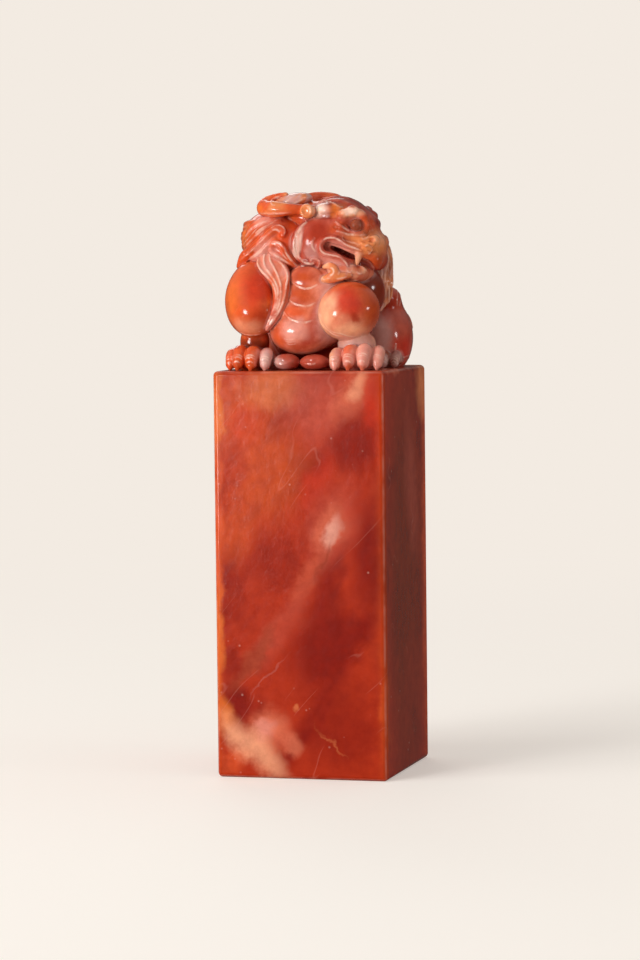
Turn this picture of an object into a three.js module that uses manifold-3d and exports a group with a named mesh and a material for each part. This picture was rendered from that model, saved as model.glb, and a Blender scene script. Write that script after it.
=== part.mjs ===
// A square soapstone seal whose grip is a crouching guardian beast carved from the same stone.
// Millimetres, +Z up. The origin is the centre of the sealing face, and the beast looks out over -Y
// with its head turned to +X. Right and left are the beast's own.
import * as THREE from 'three';
import { mergeVertices } from 'three/addons/utils/BufferGeometryUtils.js';
import { RoundedBoxGeometry } from 'three/addons/geometries/RoundedBoxGeometry.js';
import Module from 'manifold-3d';

const wasm = await Module();
wasm.setup();

// Sizes of the shaft
const SHAFT_SIDE = 30;
const SHAFT_HEIGHT = 69.5;
const EDGE_ROUND = 0.8;
const EDGE_STEPS = 2;

// Sizes of the relief cut in the sealing face
const RELIEF_DEPTH = 0.8;
const BORDER_WIDTH = 1.8;
const STROKE_WIDTH = 1.3;
const GROOVE_WIDTH = 1.2;

// The carving is drawn on a grid of 30 squares across the shaft, and its height is measured from the
// shaft's top, so it follows the shaft. Places and the radii of masses are in squares of this grid.
const GRID_SQUARES = 30;
const GRID = SHAFT_SIDE / GRID_SQUARES;
const HEAD_MIDDLE_Y = -3; // the turned head is alike on both sides of this plane
const TOE_RADII = [1.18, 1.7, 2.15];
const CLAW_RADII = [0.66, 0.95, 1.15];
const CLAW_FORWARD = 1.05;
const TOE_SINK = 0.1; // how deep a toe's round underside is trimmed by the shaft's top

// Thicknesses of the carving, in millimetres
const SPLIT = 0.3; // clearance between two neighbouring regions of the carving
const MOUTH_OPENING = 1.7;
const EAR_LENGTH = 2.6;
const EAR_RADIUS = 1.35;
const EAR_HOLLOW_RADIUS = 0.85;
const EAR_HOLLOW_DEPTH = 0.45;
const HORN_RADIUS = 0.95;
const BROW_RADIUS = 0.9;
const LIP_RADIUS = 0.5;
const BEARD_RADIUS = 0.95;
const CHEEK_RIM_RADIUS = 0.55;
const CHEST_BAND_RADIUS = 0.35;
const MANE_LOCK_RADIUS = 1.15;
const JAW_LOCK_RADIUS = 0.85;
const LEFT_MANE_RADIUS = 1.65;
const CHEST_LOCK_RADIUS = 0.62;
const NAPE_LOCK_RADIUS = 1.25;
const TAIL_RADIUS = 1.5;

// How finely the round forms are cut
const FEWEST_SIDES = 6;
const MOST_STEPS = 11;

// A closed three.js geometry as a solid that can be cut and joined
function solidOf(geometry) {
  const bare = geometry.index ? geometry.toNonIndexed() : geometry.clone();
  bare.deleteAttribute('normal');
  bare.deleteAttribute('uv');
  const merged = mergeVertices(bare, 1e-4);
  return new wasm.Manifold(new wasm.Mesh({
    numProp: 3,
    vertProperties: new Float32Array(merged.attributes.position.array),
    triVerts: new Uint32Array(merged.index.array),
  }));
}

// A cut solid as a three.js geometry with flat faces
function geometryOf(solid) {
  const mesh = solid.getMesh();
  const geometry = new THREE.BufferGeometry();
  geometry.setAttribute('position', new THREE.BufferAttribute(mesh.vertProperties, 3));
  geometry.setIndex(new THREE.BufferAttribute(mesh.triVerts, 1));
  const flat = geometry.toNonIndexed();
  flat.computeVertexNormals();
  return flat;
}

// The biggest of the bodies that a cut leaves, so that no sliver stays beside it
function mainBody(solid) {
  const bodies = solid.decompose();
  return bodies.reduce((best, body) => (body.volume() > best.volume() ? body : best));
}

// Every form below is a function of grow: how far its skin stands out past its real size.
// A neighbour is cut by the grown form, which leaves the split between the two.

// An egg-shaped mass on the carving's grid, turned by degrees about X, Y and Z
function mass(at, radii, turn = [0, 0, 0]) {
  const sides = FEWEST_SIDES + 2 * Math.round(Math.min(4, Math.max(...radii) / 2));
  const rings = Math.round(sides * 0.55);
  return (grow) => {
    const geometry = new THREE.SphereGeometry(1, sides, rings);
    geometry.rotateX(Math.PI / 2);
    geometry.scale(...radii.map((radius) => radius * GRID + grow));
    const degrees = turn.map(THREE.MathUtils.degToRad);
    geometry.applyMatrix4(new THREE.Matrix4().makeRotationFromEuler(new THREE.Euler(...degrees)));
    geometry.translate(...at.map((value) => value * GRID));
    return solidOf(geometry);
  };
}

// A round strand along a smooth curve on the grid. Its radius is a named size times the given shares,
// which are spread evenly along it, and its ends are round.
function strand(path, radius, shares, sides = 6) {
  const points = path.map((point) => new THREE.Vector3(...point).multiplyScalar(GRID));
  const curve = new THREE.CatmullRomCurve3(points, false, 'centripetal');
  const steps = Math.max(4, Math.min(MOST_STEPS, Math.round(curve.getLength() / (2 * radius))));
  const frames = curve.computeFrenetFrames(steps, false);
  const radiusAt = (u) => {
    const place = u * (shares.length - 1);
    const low = Math.min(shares.length - 2, Math.floor(place));
    return radius * THREE.MathUtils.lerp(shares[low], shares[low + 1], place - low);
  };
  return (grow) => {
    const run = [];
    for (let step = 0; step <= steps; step += 1) {
      run.push({ step, centre: curve.getPointAt(step / steps), radius: radiusAt(step / steps) + grow });
    }
    const cap = (end, direction) => ({
      step: end.step,
      centre: end.centre.clone().addScaledVector(frames.tangents[end.step], direction * end.radius * Math.SQRT1_2),
      radius: end.radius * Math.SQRT1_2,
    });
    const [first, last] = [run[0], run[steps]];
    const rings = [cap(first, -1), ...run, cap(last, 1)];
    const positions = [];
    const add = (point) => positions.push(point.x, point.y, point.z);
    add(first.centre.clone().addScaledVector(frames.tangents[0], -first.radius));
    for (const ring of rings) {
      for (let side = 0; side < sides; side += 1) {
        const angle = (2 * Math.PI * side) / sides;
        add(ring.centre.clone()
          .addScaledVector(frames.normals[ring.step], ring.radius * Math.cos(angle))
          .addScaledVector(frames.binormals[ring.step], ring.radius * Math.sin(angle)));
      }
    }
    add(last.centre.clone().addScaledVector(frames.tangents[steps], last.radius));
    const index = [];
    const at = (ring, side) => 1 + ring * sides + (side % sides);
    const tip = 1 + rings.length * sides;
    for (let side = 0; side < sides; side += 1) {
      index.push(0, at(0, side + 1), at(0, side));
      index.push(tip, at(rings.length - 1, side), at(rings.length - 1, side + 1));
      for (let ring = 0; ring < rings.length - 1; ring += 1) {
        index.push(at(ring, side), at(ring, side + 1), at(ring + 1, side + 1));
        index.push(at(ring, side), at(ring + 1, side + 1), at(ring + 1, side));
      }
    }
    const geometry = new THREE.BufferGeometry();
    geometry.setAttribute('position', new THREE.Float32BufferAttribute(positions, 3));
    geometry.setIndex(index);
    return solidOf(geometry);
  };
}

const joined = (...forms) => (grow) => forms.map((form) => form(grow)).reduce((a, b) => a.add(b));
// A form with hollows. Its neighbours stay out of the hollows too, so only the form itself has them.
const without = (form, ...cuts) => (grow) => (grow > 0
  ? form(grow)
  : cuts.reduce((solid, cut) => solid.subtract(cut(0)), form(0)));

// The same points on the head's other side
const farSide = (points) => points.map(([x, y, z]) => [x, 2 * HEAD_MIDDLE_Y - y, z]);
const farPoint = (point) => farSide([point])[0];

// The regions of the carving, in order: each one gives way to those before it
const regions = [];
const region = (name, material, form) => regions.push({ name, material, form });

function stone(name, colour) {
  return new THREE.MeshStandardMaterial({ name, color: colour, roughness: 0.22, metalness: 0 });
}
const redStone = stone('red_stone', 0xb8361f);
const orangeStone = stone('orange_stone', 0xd4602c);
const wineStone = stone('wine_stone', 0x8c2c24);
const paleStone = stone('pale_stone', 0xd98b66);

// The sealing face: a border, a cross and one squared spiral in each quarter
function strokes() {
  const bars = [];
  const bar = (x0, y0, x1, y1) => {
    const wide = Math.abs(x1 - x0) + STROKE_WIDTH;
    const long = Math.abs(y1 - y0) + STROKE_WIDTH;
    const box = new THREE.BoxGeometry(wide, long, 2 * RELIEF_DEPTH);
    box.translate((x0 + x1) / 2, (y0 + y1) / 2, RELIEF_DEPTH);
    bars.push(solidOf(box));
  };
  const reach = SHAFT_SIDE / 2 - BORDER_WIDTH;
  bar(-reach, 0, reach, 0);
  bar(0, -reach, 0, reach);
  const near = STROKE_WIDTH + GROOVE_WIDTH;
  const side = reach - GROOVE_WIDTH - STROKE_WIDTH / 2 - near;
  for (let quarter = 0; quarter < 4; quarter += 1) {
    const turned = (x, y) => {
      const angle = (quarter * Math.PI) / 2;
      return [x * Math.cos(angle) - y * Math.sin(angle), x * Math.sin(angle) + y * Math.cos(angle)];
    };
    let [x, y] = [near, near];
    let run = side;
    for (let k = 0; run > near / 2; k += 1) {
      const heading = (k % 4) * (Math.PI / 2);
      const [nextX, nextY] = [x + run * Math.cos(heading), y + run * Math.sin(heading)];
      bar(...turned(x, y), ...turned(nextX, nextY));
      [x, y] = [nextX, nextY];
      if (k >= 2 && k % 2 === 0) run -= near;
    }
  }
  return bars.reduce((a, b) => a.add(b));
}

function shaft() {
  const block = new RoundedBoxGeometry(SHAFT_SIDE, SHAFT_SIDE, SHAFT_HEIGHT, EDGE_STEPS, EDGE_ROUND);
  block.translate(0, 0, SHAFT_HEIGHT / 2);
  const floorSide = SHAFT_SIDE - 2 * BORDER_WIDTH;
  const recess = new THREE.BoxGeometry(floorSide, floorSide, 2 * RELIEF_DEPTH);
  const sunk = solidOf(recess).subtract(strokes());
  return solidOf(block).subtract(sunk);
}

// The head, turned over the left foreleg
const SKULL = { at: [4.6, HEAD_MIDDLE_Y, 21.9], radii: [7.6, 5.9, 7.4], turn: [0, 14, 0] };
const MUZZLE = { at: [9.6, HEAD_MIDDLE_Y, 21.0], radii: [3.9, 4.6, 3.2], turn: [0, 12, 0] };
const UPPER_LIP = { at: [10.9, HEAD_MIDDLE_Y, 19.3], radii: [2.5, 4.2, 2.3] };
const NOSTRIL = { at: [12.1, -5.6, 21.9], radii: [1.35, 1.5, 1.3] };
const NOSE_PAD = { at: [11.8, HEAD_MIDDLE_Y, 22.7], radii: [1.7, 3.4, 1.7] };
const NOSE_BRIDGE = { at: [10.6, HEAD_MIDDLE_Y, 24.9], radii: [2.1, 3.0, 1.9], turn: [0, 35, 0] };
const LOWER_JAW = { at: [7.4, HEAD_MIDDLE_Y, 16.7], radii: [4.6, 5.3, 1.9], turn: [0, 22, 0] };
const CHIN = { at: [10.3, HEAD_MIDDLE_Y, 15.4], radii: [1.7, 3.2, 1.3] };
const CHEEK = { at: [1.0, -6.9, 21.6], radii: [3.1, 2.9, 4.2] };
const FOREHEAD = { at: [4.3, -5.6, 27.0], radii: [2.9, 2.2, 1.7], turn: [0, 12, 0] };
const FOREHEAD_MIDDLE = { at: [4.2, HEAD_MIDDLE_Y, 27.7], radii: [2.6, 3.4, 1.7] };
const CROWN_KNOB = { at: [-3.9, -2.6, 28.9], radii: [2.9, 1.9, 1.1], turn: [0, -10, 0] };
const EYE = { at: [8.7, -7.6, 24.4], radii: [1.15, 1.15, 1.15] };
const EAR_FROM = [0.5, -6.2, 26.6];
const BROW_PATH = [[5.9, -7.4, 25.9], [7.7, -8.4, 26.3], [9.6, -8.1, 26.0], [10.7, -7.0, 24.7]];
const LIP_PATH = [
  [9.0, -7.9, 20.9], [7.2, -8.4, 21.5], [5.2, -8.9, 22.1], [3.4, -9.3, 21.9], [2.8, -9.4, 20.8],
  [3.5, -9.3, 19.6], [5.3, -9.0, 19.0], [7.0, -8.8, 18.0], [8.1, -8.5, 16.8],
];
const CHEEK_RIM_PATH = [
  [-0.9, -8.2, 25.0], [-1.9, -8.5, 23.0], [-2.0, -8.7, 20.9], [-1.1, -9.0, 18.9], [0.4, -9.3, 17.6],
  [2.0, -9.5, 17.2], [2.9, -9.6, 18.0], [2.2, -9.6, 18.8],
];
const BEARD_PATH = [
  [4.2, -8.8, 17.4], [5.5, -9.5, 17.3], [6.1, -9.7, 16.4], [5.2, -9.6, 15.5], [3.9, -9.4, 15.5],
];
const HORN_PATH = [
  [1.6, -5.6, 27.2], [-2.0, -6.1, 26.9], [-6.0, -6.0, 26.6], [-9.0, -5.2, 26.6],
  [-9.9, -3.9, 27.6], [-8.6, -3.4, 29.2], [-6.2, -3.5, 29.5],
];
const LEFT_HORN_PATH = [
  [3.4, 0.4, 28.3], [1.4, 1.2, 29.4], [-1.2, 1.4, 29.4], [-3.4, 1.6, 28.4], [-6.0, 2.0, 27.0],
];
// Places along the mouth, each with its share of the full opening
const MOUTH_LINE = [[3.5, 21.0, 0.2], [6.2, 19.9, 0.7], [8.9, 18.5, 0.8], [11.4, 16.9, 1], [14.8, 15.7, 1.3]];

// The open mouth runs right through the head and opens towards the front
function mouth() {
  const half = (share) => (share * MOUTH_OPENING) / 2;
  const outline = new THREE.Shape();
  outline.setFromPoints([
    ...MOUTH_LINE.map(([x, z, share]) => new THREE.Vector2(x * GRID, z * GRID + half(share))),
    ...MOUTH_LINE.map(([x, z, share]) => new THREE.Vector2(x * GRID, z * GRID - half(share))).reverse(),
  ]);
  const width = 3 * SKULL.radii[1] * GRID;
  const gap = new THREE.ExtrudeGeometry(outline, { depth: width, bevelEnabled: false });
  gap.rotateX(Math.PI / 2);
  gap.translate(0, HEAD_MIDDLE_Y * GRID + width / 2, 0);
  return solidOf(gap);
}

const of = (shape) => mass(shape.at, shape.radii, shape.turn);
const ofFar = (shape) => mass(
  farPoint(shape.at),
  shape.radii,
  (shape.turn ?? [0, 0, 0]).map((angle, k) => (k === 1 ? angle : -angle)),
);

// A round ear that stands out sideways, with a dished end
function ear([x, y, z], outward) {
  const out = outward / GRID;
  const tip = [x - 0.3, y + out * EAR_LENGTH, z - 0.2];
  const dish = EAR_RADIUS + EAR_HOLLOW_RADIUS - EAR_HOLLOW_DEPTH;
  return without(
    strand([[x, y, z], tip], EAR_RADIUS, [0.8, 1], 8),
    mass([tip[0], tip[1] + out * dish, tip[2]], Array(3).fill(EAR_HOLLOW_RADIUS / GRID)),
  );
}

region('right_eye', wineStone, of(EYE));
region('left_eye', wineStone, ofFar(EYE));
const browShares = [0.6, 0.95, 1, 0.6];
region('right_brow', orangeStone, strand(BROW_PATH, BROW_RADIUS, browShares));
region('left_brow', orangeStone, strand(farSide(BROW_PATH), BROW_RADIUS, browShares));
region('right_ear', paleStone, ear(EAR_FROM, -1));
region('left_ear', paleStone, ear(farPoint(EAR_FROM), 1));
const hornShares = [1.0, 1.05, 1.05, 1.1, 1.1, 0.95, 0.6];
region('right_horn', orangeStone, strand(HORN_PATH, HORN_RADIUS, hornShares));
region('left_horn', redStone, strand(LEFT_HORN_PATH, HORN_RADIUS, [0.6, 0.95, 1.0, 1.0, 0.6]));
region('crown_knob', paleStone, of(CROWN_KNOB));
const lipShares = [0.6, 1, 1, 1.1, 1.1, 1.1, 1, 0.9, 0.5];
region('right_lip', redStone, strand(LIP_PATH, LIP_RADIUS, lipShares));
region('left_lip', redStone, strand(farSide(LIP_PATH), LIP_RADIUS, lipShares));
const rimShares = [0.4, 0.9, 1.1, 1.1, 1, 0.95, 0.9, 0.7];
region('right_cheek_rim', paleStone, strand(CHEEK_RIM_PATH, CHEEK_RIM_RADIUS, rimShares));
region('left_cheek_rim', paleStone, strand(farSide(CHEEK_RIM_PATH), CHEEK_RIM_RADIUS, rimShares));
const beardShares = [0.6, 0.95, 1, 0.95, 0.6];
region('right_beard_curl', paleStone, strand(BEARD_PATH, BEARD_RADIUS, beardShares));
region('left_beard_curl', paleStone, strand(farSide(BEARD_PATH), BEARD_RADIUS, beardShares));
region('right_cheek', wineStone, without(of(CHEEK), mouth));
region('left_cheek', wineStone, without(ofFar(CHEEK), mouth));
region('forehead', paleStone, joined(of(FOREHEAD), ofFar(FOREHEAD), of(FOREHEAD_MIDDLE)));
region('nose', redStone, joined(of(NOSTRIL), ofFar(NOSTRIL), of(NOSE_PAD), of(NOSE_BRIDGE)));
region('upper_jaw', paleStone, without(joined(of(MUZZLE), of(UPPER_LIP)), mouth));
region('lower_jaw', paleStone, without(joined(of(LOWER_JAW), of(CHIN)), mouth));
region('skull', redStone, without(of(SKULL), mouth));

// Paws: four toes with a claw each, on a low pad
function paw(toes, padAt, padRadii) {
  const forms = toes.map(([x, y, share]) => {
    const radii = TOE_RADII.map((radius) => radius * share);
    const z = radii[2] - TOE_SINK;
    const claw = CLAW_RADII.map((radius) => radius * share);
    return joined(mass([x, y, z], radii), mass([x, y - CLAW_FORWARD * share, claw[2] - TOE_SINK], claw));
  });
  return joined(...forms, mass(padAt, padRadii));
}
const RIGHT_TOES = [[-12.9, -10.2, 0.86], [-11.1, -12.0, 1], [-8.6, -12.4, 1.02], [-6.2, -12.0, 0.95]];
const LEFT_TOES = [[6.0, -12.0, 1], [8.45, -12.4, 1.08], [10.9, -12.0, 1.1], [13.0, -10.4, 1]];
const RIGHT_HIND_TOES = [[-13.1, 0.9, 0.8], [-11.3, 0.1, 0.85], [-9.4, 0.5, 0.8]];
const LEFT_HIND_TOES = [[13.1, 0.9, 0.8], [11.3, 0.1, 0.85], [9.4, 0.5, 0.8]];
region('right_forepaw', orangeStone, paw(RIGHT_TOES, [-9.4, -9.4, 1.7], [4.4, 3.0, 1.8]));
region('left_forepaw', paleStone, paw(LEFT_TOES, [9.4, -9.4, 1.8], [4.4, 3.0, 1.9]));
region('right_hindpaw', redStone, paw(RIGHT_HIND_TOES, [-11.2, 2.6, 1.3], [2.9, 2.6, 1.4]));
region('left_hindpaw', redStone, paw(LEFT_HIND_TOES, [11.2, 2.6, 1.3], [2.9, 2.6, 1.4]));

// Legs: a round knee over a short shank
const RIGHT_KNEE = { at: [-10.3, -7.8, 10.9], radii: [4.1, 4.7, 5.1] };
const RIGHT_UPPER_ARM = { at: [-9.2, -6.8, 14.4], radii: [3.7, 4.2, 4.9], turn: [0, 12, 0] };
const LEFT_KNEE = { at: [7.6, -8.5, 9.5], radii: [5.2, 5.1, 5.6], turn: [0, -18, 0] };
const RIGHT_SHANK = { at: [-9.5, -8.6, 5.0], radii: [2.6, 3.0, 3.0] };
const LEFT_SHANK = { at: [8.2, -8.8, 4.0], radii: [2.9, 3.0, 3.0] };
region('right_foreleg', orangeStone, joined(of(RIGHT_KNEE), of(RIGHT_UPPER_ARM), of(RIGHT_SHANK)));
region('left_foreleg', paleStone, joined(of(LEFT_KNEE), of(LEFT_SHANK)));

// Chest, with crescent bands, over a round belly
const CHEST_LOCKS = [
  [[-8.5, -7.9, 18.2], [-6.9, -9.3, 15.4], [-5.2, -10.4, 13.0], [-5.1, -11.2, 10.2], [-6.7, -11.3, 7.6]],
  [[-7.5, -8.2, 19.4], [-6.0, -9.5, 16.6], [-4.3, -10.5, 13.4], [-4.3, -11.3, 9.8], [-6.6, -11.4, 6.6]],
  [[-6.4, -8.4, 20.2], [-5.0, -9.4, 17.2], [-3.6, -10.2, 14.2], [-3.3, -11.0, 11.0], [-4.6, -11.6, 8.2]],
];
CHEST_LOCKS.forEach((path, k) => {
  region(`chest_lock_${k + 1}`, redStone, strand(path, CHEST_LOCK_RADIUS, [0.9, 1.15, 1.1, 1, 0.55]));
});
const PEBBLES = {
  right_pebble: { at: [-3.5, -10.2, 1.15], radii: [2.15, 2.4, 1.25] },
  left_pebble: { at: [1.5, -10.2, 1.05], radii: [2.45, 2.4, 1.15] },
};
Object.entries(PEBBLES).forEach(([name, shape]) => region(name, wineStone, of(shape)));
const BELLY = { at: [-1.5, -7.4, 6.9], radii: [5.3, 4.5, 4.5] };
const CHEST = { at: [-0.9, -6.3, 13.2], radii: [4.3, 4.3, 5.4] };
const BAND_DROP = 1.5;
// Each crescent's ends, left and right, and how far forward its middle lies
const BANDS = [
  { left: [-3.2, 15.5], right: [2.2, 15.0], front: -10.2 },
  { left: [-4.1, 12.8], right: [2.1, 12.5], front: -10.5 },
  { left: [-5.0, 10.2], right: [2.0, 9.9], front: -10.9 },
];
const bands = BANDS.map(({ left: [x0, z0], right: [x1, z1], front }) => strand(
  [[x0, front + 0.9, z0], [(x0 + x1) / 2, front, (z0 + z1) / 2 - BAND_DROP], [x1, front + 0.9, z1]],
  CHEST_BAND_RADIUS,
  [0.5, 1, 0.5],
));
region('belly', redStone, of(BELLY));
region('chest', orangeStone, joined(of(CHEST), ...bands));

// Mane: long locks swept back from the jaw, and one that runs under it
const MANE_LOCKS = [
  [[-13.6, -4.2, 17.6], [-10.5, -6.4, 19.6], [-7.8, -7.3, 21.8], [-5.6, -7.6, 24.0], [-4.4, -7.6, 24.3]],
  [[-13.3, -3.0, 20.2], [-10.8, -5.2, 22.2], [-8.2, -6.4, 24.2], [-5.6, -6.6, 25.8]],
  [[-12.7, -2.0, 22.6], [-10.6, -3.8, 24.3], [-8.2, -5.0, 25.6]],
];
MANE_LOCKS.forEach((path, k) => {
  region(`right_mane_lock_${k + 1}`, orangeStone, strand(path, MANE_LOCK_RADIUS, [0.55, 1, 1, 0.7]));
});
const JAW_LOCK = [
  [-7.4, -7.6, 20.6], [-5.4, -8.2, 21.2], [-3.9, -8.6, 20.2], [-2.7, -8.8, 18.4], [-0.4, -8.8, 16.9],
  [2.4, -8.6, 16.4],
];
region('right_jaw_lock', redStone, strand(JAW_LOCK, JAW_LOCK_RADIUS, [0.6, 1, 1, 0.7]));
const LEFT_MANE = [
  [[11.4, -0.6, 19.0], [12.2, 0.6, 16.6], [11.9, 0.6, 13.4], [12.0, 0.2, 10.4]],
  [[8.8, 4.2, 22.0], [11.2, 4.2, 19.0], [12.2, 4.0, 15.6], [12.0, 4.4, 12.6]],
];
LEFT_MANE.forEach((path, k) => {
  region(`left_mane_lock_${k + 1}`, redStone, strand(path, LEFT_MANE_RADIUS, [0.8, 1, 0.9, 0.55]));
});

// Tail and nape, on the back
const TAIL_PATH = [
  [0.4, 11.2, 1.5], [1.8, 12.2, 4.4], [-1.4, 12.9, 8.0], [1.6, 12.7, 11.8], [0.2, 11.8, 15.4], [-1.8, 10.7, 17.6],
];
const TAIL_CURLS = [
  [[-1.6, 12.6, 9.4], [-4.2, 12.0, 10.6], [-5.4, 11.2, 12.8], [-4.2, 11.2, 14.4]],
  [[1.8, 12.4, 12.6], [4.4, 11.8, 12.4], [6.0, 10.8, 14.0], [5.2, 10.4, 16.0]],
];
region('tail', orangeStone, joined(
  strand(TAIL_PATH, TAIL_RADIUS, [1.1, 1.15, 1.1, 1.0, 0.85, 0.5], 8),
  ...TAIL_CURLS.map((path) => strand(path, TAIL_RADIUS, [0.5, 0.8, 0.75, 0.5])),
));
const NAPE_LOCKS = [-7.2, -3.6, 0, 3.6, 7.2];
function napeLock(x) {
  const round = x * x;
  const path = [
    [x * 0.8, 2.2, 27.0 - 0.06 * round],
    [x, 6.2, 24.4 - 0.06 * round],
    [x * 1.1, 9.1 - 0.03 * round, 19.8],
    [x * 1.15, 11.0 - 0.05 * round, 14.8],
  ];
  return strand(path, NAPE_LOCK_RADIUS, [0.8, 1.1, 1.1, 0.6]);
}

// Haunches, neck and trunk
const HAUNCH_RADII = [4.9, 6.2, 6.9];
region('right_haunch', wineStone, mass([-9.6, 6.0, 5.9], HAUNCH_RADII, [-12, 6, 0]));
region('left_haunch', wineStone, mass([9.9, 6.0, 5.9], HAUNCH_RADII, [-12, -6, 0]));
region('nape', redStone, joined(
  mass([-6.4, -0.6, 20.6], [6.8, 6.7, 6.6], [0, 30, 0]),
  mass([1.6, 2.4, 20.6], [9.6, 6.8, 7.2]),
  ...NAPE_LOCKS.map(napeLock),
));
region('trunk', redStone, joined(
  mass([0, 3.2, 9.6], [10.4, 9.4, 11.4]),
  mass([0.6, -0.8, 13.4], [11.4, 7.2, 7.6]),
));

// Assembly: the carving stands on the shaft's top
const seal = new THREE.Group();
const shaftMesh = new THREE.Mesh(geometryOf(shaft()), redStone);
shaftMesh.name = 'seal_shaft';
seal.add(shaftMesh);

const beast = new THREE.Group();
beast.position.z = SHAFT_HEIGHT;
seal.add(beast);
const room = new THREE.BoxGeometry(2 * SHAFT_SIDE, 2 * SHAFT_SIDE, 2 * SHAFT_SIDE);
room.translate(0, 0, SHAFT_SIDE);
const aboveShaft = solidOf(room);
let carved = null;
for (const { name, material, form } of regions) {
  const whole = form(0).intersect(aboveShaft);
  const solid = mainBody(carved ? whole.subtract(carved) : whole);
  const mesh = new THREE.Mesh(geometryOf(solid), material);
  mesh.name = name;
  beast.add(mesh);
  carved = carved ? carved.add(form(SPLIT)) : form(SPLIT);
}

export default seal;
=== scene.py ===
from copy import deepcopy
from math import copysign, cos, pi, radians, sin

import bmesh
import bpy
import numpy as np
import openvdb
from bpy.props import FloatProperty, FloatVectorProperty, PointerProperty
from bpy.types import Operator, Panel, PropertyGroup
from mathutils import Euler, Matrix, Vector


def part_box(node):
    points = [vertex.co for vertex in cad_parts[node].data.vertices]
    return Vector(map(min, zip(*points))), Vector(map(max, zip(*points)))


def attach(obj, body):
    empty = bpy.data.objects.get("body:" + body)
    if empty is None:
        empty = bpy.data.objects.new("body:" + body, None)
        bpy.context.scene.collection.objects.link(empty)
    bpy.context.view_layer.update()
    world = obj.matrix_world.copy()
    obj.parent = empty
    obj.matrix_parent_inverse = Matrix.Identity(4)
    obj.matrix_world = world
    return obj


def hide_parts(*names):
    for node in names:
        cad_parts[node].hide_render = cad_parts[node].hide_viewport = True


bl_info = {
    "name": "Beast Seal",
    "version": (1, 0, 0),
    "blender": (4, 5, 0),
    "location": "View3D > Sidebar > Seal",
    "description": "Carves a soapstone seal: a square shaft with a crouching guardian beast on top",
    "category": "Object",
}

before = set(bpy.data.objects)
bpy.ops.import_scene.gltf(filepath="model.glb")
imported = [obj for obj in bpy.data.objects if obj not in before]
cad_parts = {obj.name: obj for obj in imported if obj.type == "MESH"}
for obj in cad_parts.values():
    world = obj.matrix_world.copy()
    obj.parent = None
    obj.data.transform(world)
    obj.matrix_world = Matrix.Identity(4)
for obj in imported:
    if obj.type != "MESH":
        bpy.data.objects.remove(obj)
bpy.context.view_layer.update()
SHAFT_LOW, SHAFT_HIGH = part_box("seal_shaft")

# The carving is drawn in squares of a grid, 30 across the shaft, from the middle of the shaft's top.
# It looks out over -Y with its head turned to +X. Right and left are the beast's own.
GRID_SQUARES = 30
SQUARE = (SHAFT_HIGH.x - SHAFT_LOW.x) / GRID_SQUARES
SHAFT_TOP = (SHAFT_HIGH.z - SHAFT_LOW.z) / SQUARE
HALF_SHAFT = GRID_SQUARES / 2
HEAD_MIDDLE = -3.0  # the head is alike on both sides of this depth
STEP = 0.15  # cells of the grid that a piece is sculpted in
COARSE_STEP = 0.3
FAR = 6.0  # the distance that counts as away from every form
SUNK = -0.3  # how far a piece's room reaches into the shaft's top
DRAPE_REACH = 34.0  # how far before and behind a drawing its line may lie
DRAPE_GAP = 4.0  # a point that misses the skin by more than this is left out
EGG_ROOM = 3.2  # how far beyond an egg its distances are kept
STRAND_ROOM = 0.4
SEAM_SEARCH = 1.0
SEAM_REACH = 0.55  # how far from another piece the dust lies

# The photograph's camera, in squares and degrees
CAMERA_AZIMUTH = 15.33
CAMERA_ELEVATION = 3.85
CAMERA_ROLL = -0.64
CAMERA_DISTANCE = 608.2
CAMERA_TARGET = (-0.33, 0.0, 50.06)
CAMERA_LENS = 131.6
DRAWING_PLANE = -8.0

# The axis that a drawing in each view lacks, and the way the view looks. The photograph's view looks
# along the camera's rays.
VIEWS = {
    "photo": (1, None), "front": (1, (0, 1, 0)), "back": (1, (0, -1, 0)),
    "right": (0, (1, 0, 0)), "left": (0, (-1, 0, 0)), "top": (2, (0, 0, -1)),
}


def linear(*screen):
    """A colour written as 0 to 255 screen values, as the linear colour that a shader takes."""
    shares = [value / 255 for value in screen]
    return (*(s / 12.92 if s <= 0.04045 else ((s + 0.055) / 1.055) ** 2.4 for s in shares), 1.0)


def colour_property(name, description, *screen):
    """A colour property, from 0 to 255 screen values."""
    return FloatVectorProperty(
        name=name, description=description, size=4, min=0.0, max=1.0, subtype="COLOR",
        default=linear(*screen),
    )


def length_property(name, description, squares):
    """A length property, from squares of the carving's grid."""
    return FloatProperty(
        name=name, description=description, default=squares * SQUARE, min=0.0, precision=4,
        subtype="DISTANCE", unit="LENGTH",
    )


class SealColours(PropertyGroup):
    """The colours of the stone and the stage"""
    red: colour_property("Red", "Main red of the shaft", 170, 45, 16)
    deep_red: colour_property("Deep red", "Dark clear red in the stone", 130, 20, 6)
    scarlet: colour_property("Scarlet", "Bright red spots", 200, 38, 10)
    # Maroon also paints shade over the shaft's right side
    maroon: colour_property("Maroon", "Darkest stone, on the shaded side", 130, 43, 16)
    rust: colour_property("Rust", "Brownish orange", 194, 72, 26)
    rose: colour_property("Rose", "Dusty rose", 188, 80, 60)
    orange: colour_property("Orange", "Main orange of the beast", 218, 86, 40)
    amber: colour_property("Amber", "Clear yellow orange", 232, 120, 48)
    salmon: colour_property("Salmon", "Soft pinkish orange", 220, 116, 84)
    peach: colour_property("Peach", "Pale orange", 240, 168, 128)
    # Cream also paints the highlights on ridges, raised lines and the shaft's edges
    cream: colour_property("Cream", "Palest stone and worn ridges", 248, 208, 188)
    pink: colour_property("Pink", "Pale pink clouds", 226, 146, 128)
    mauve: colour_property("Mauve", "Greyish pink clouds", 212, 162, 152)
    tan: colour_property("Tan", "Yellowish brown of the muzzle", 226, 130, 76)
    brown: colour_property("Brown", "Reddish brown", 146, 66, 42)
    backdrop: colour_property("Backdrop", "Paper behind the seal", 243, 235, 226)
    floor: colour_property("Floor", "Cloth under the seal", 247, 240, 232)


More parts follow.
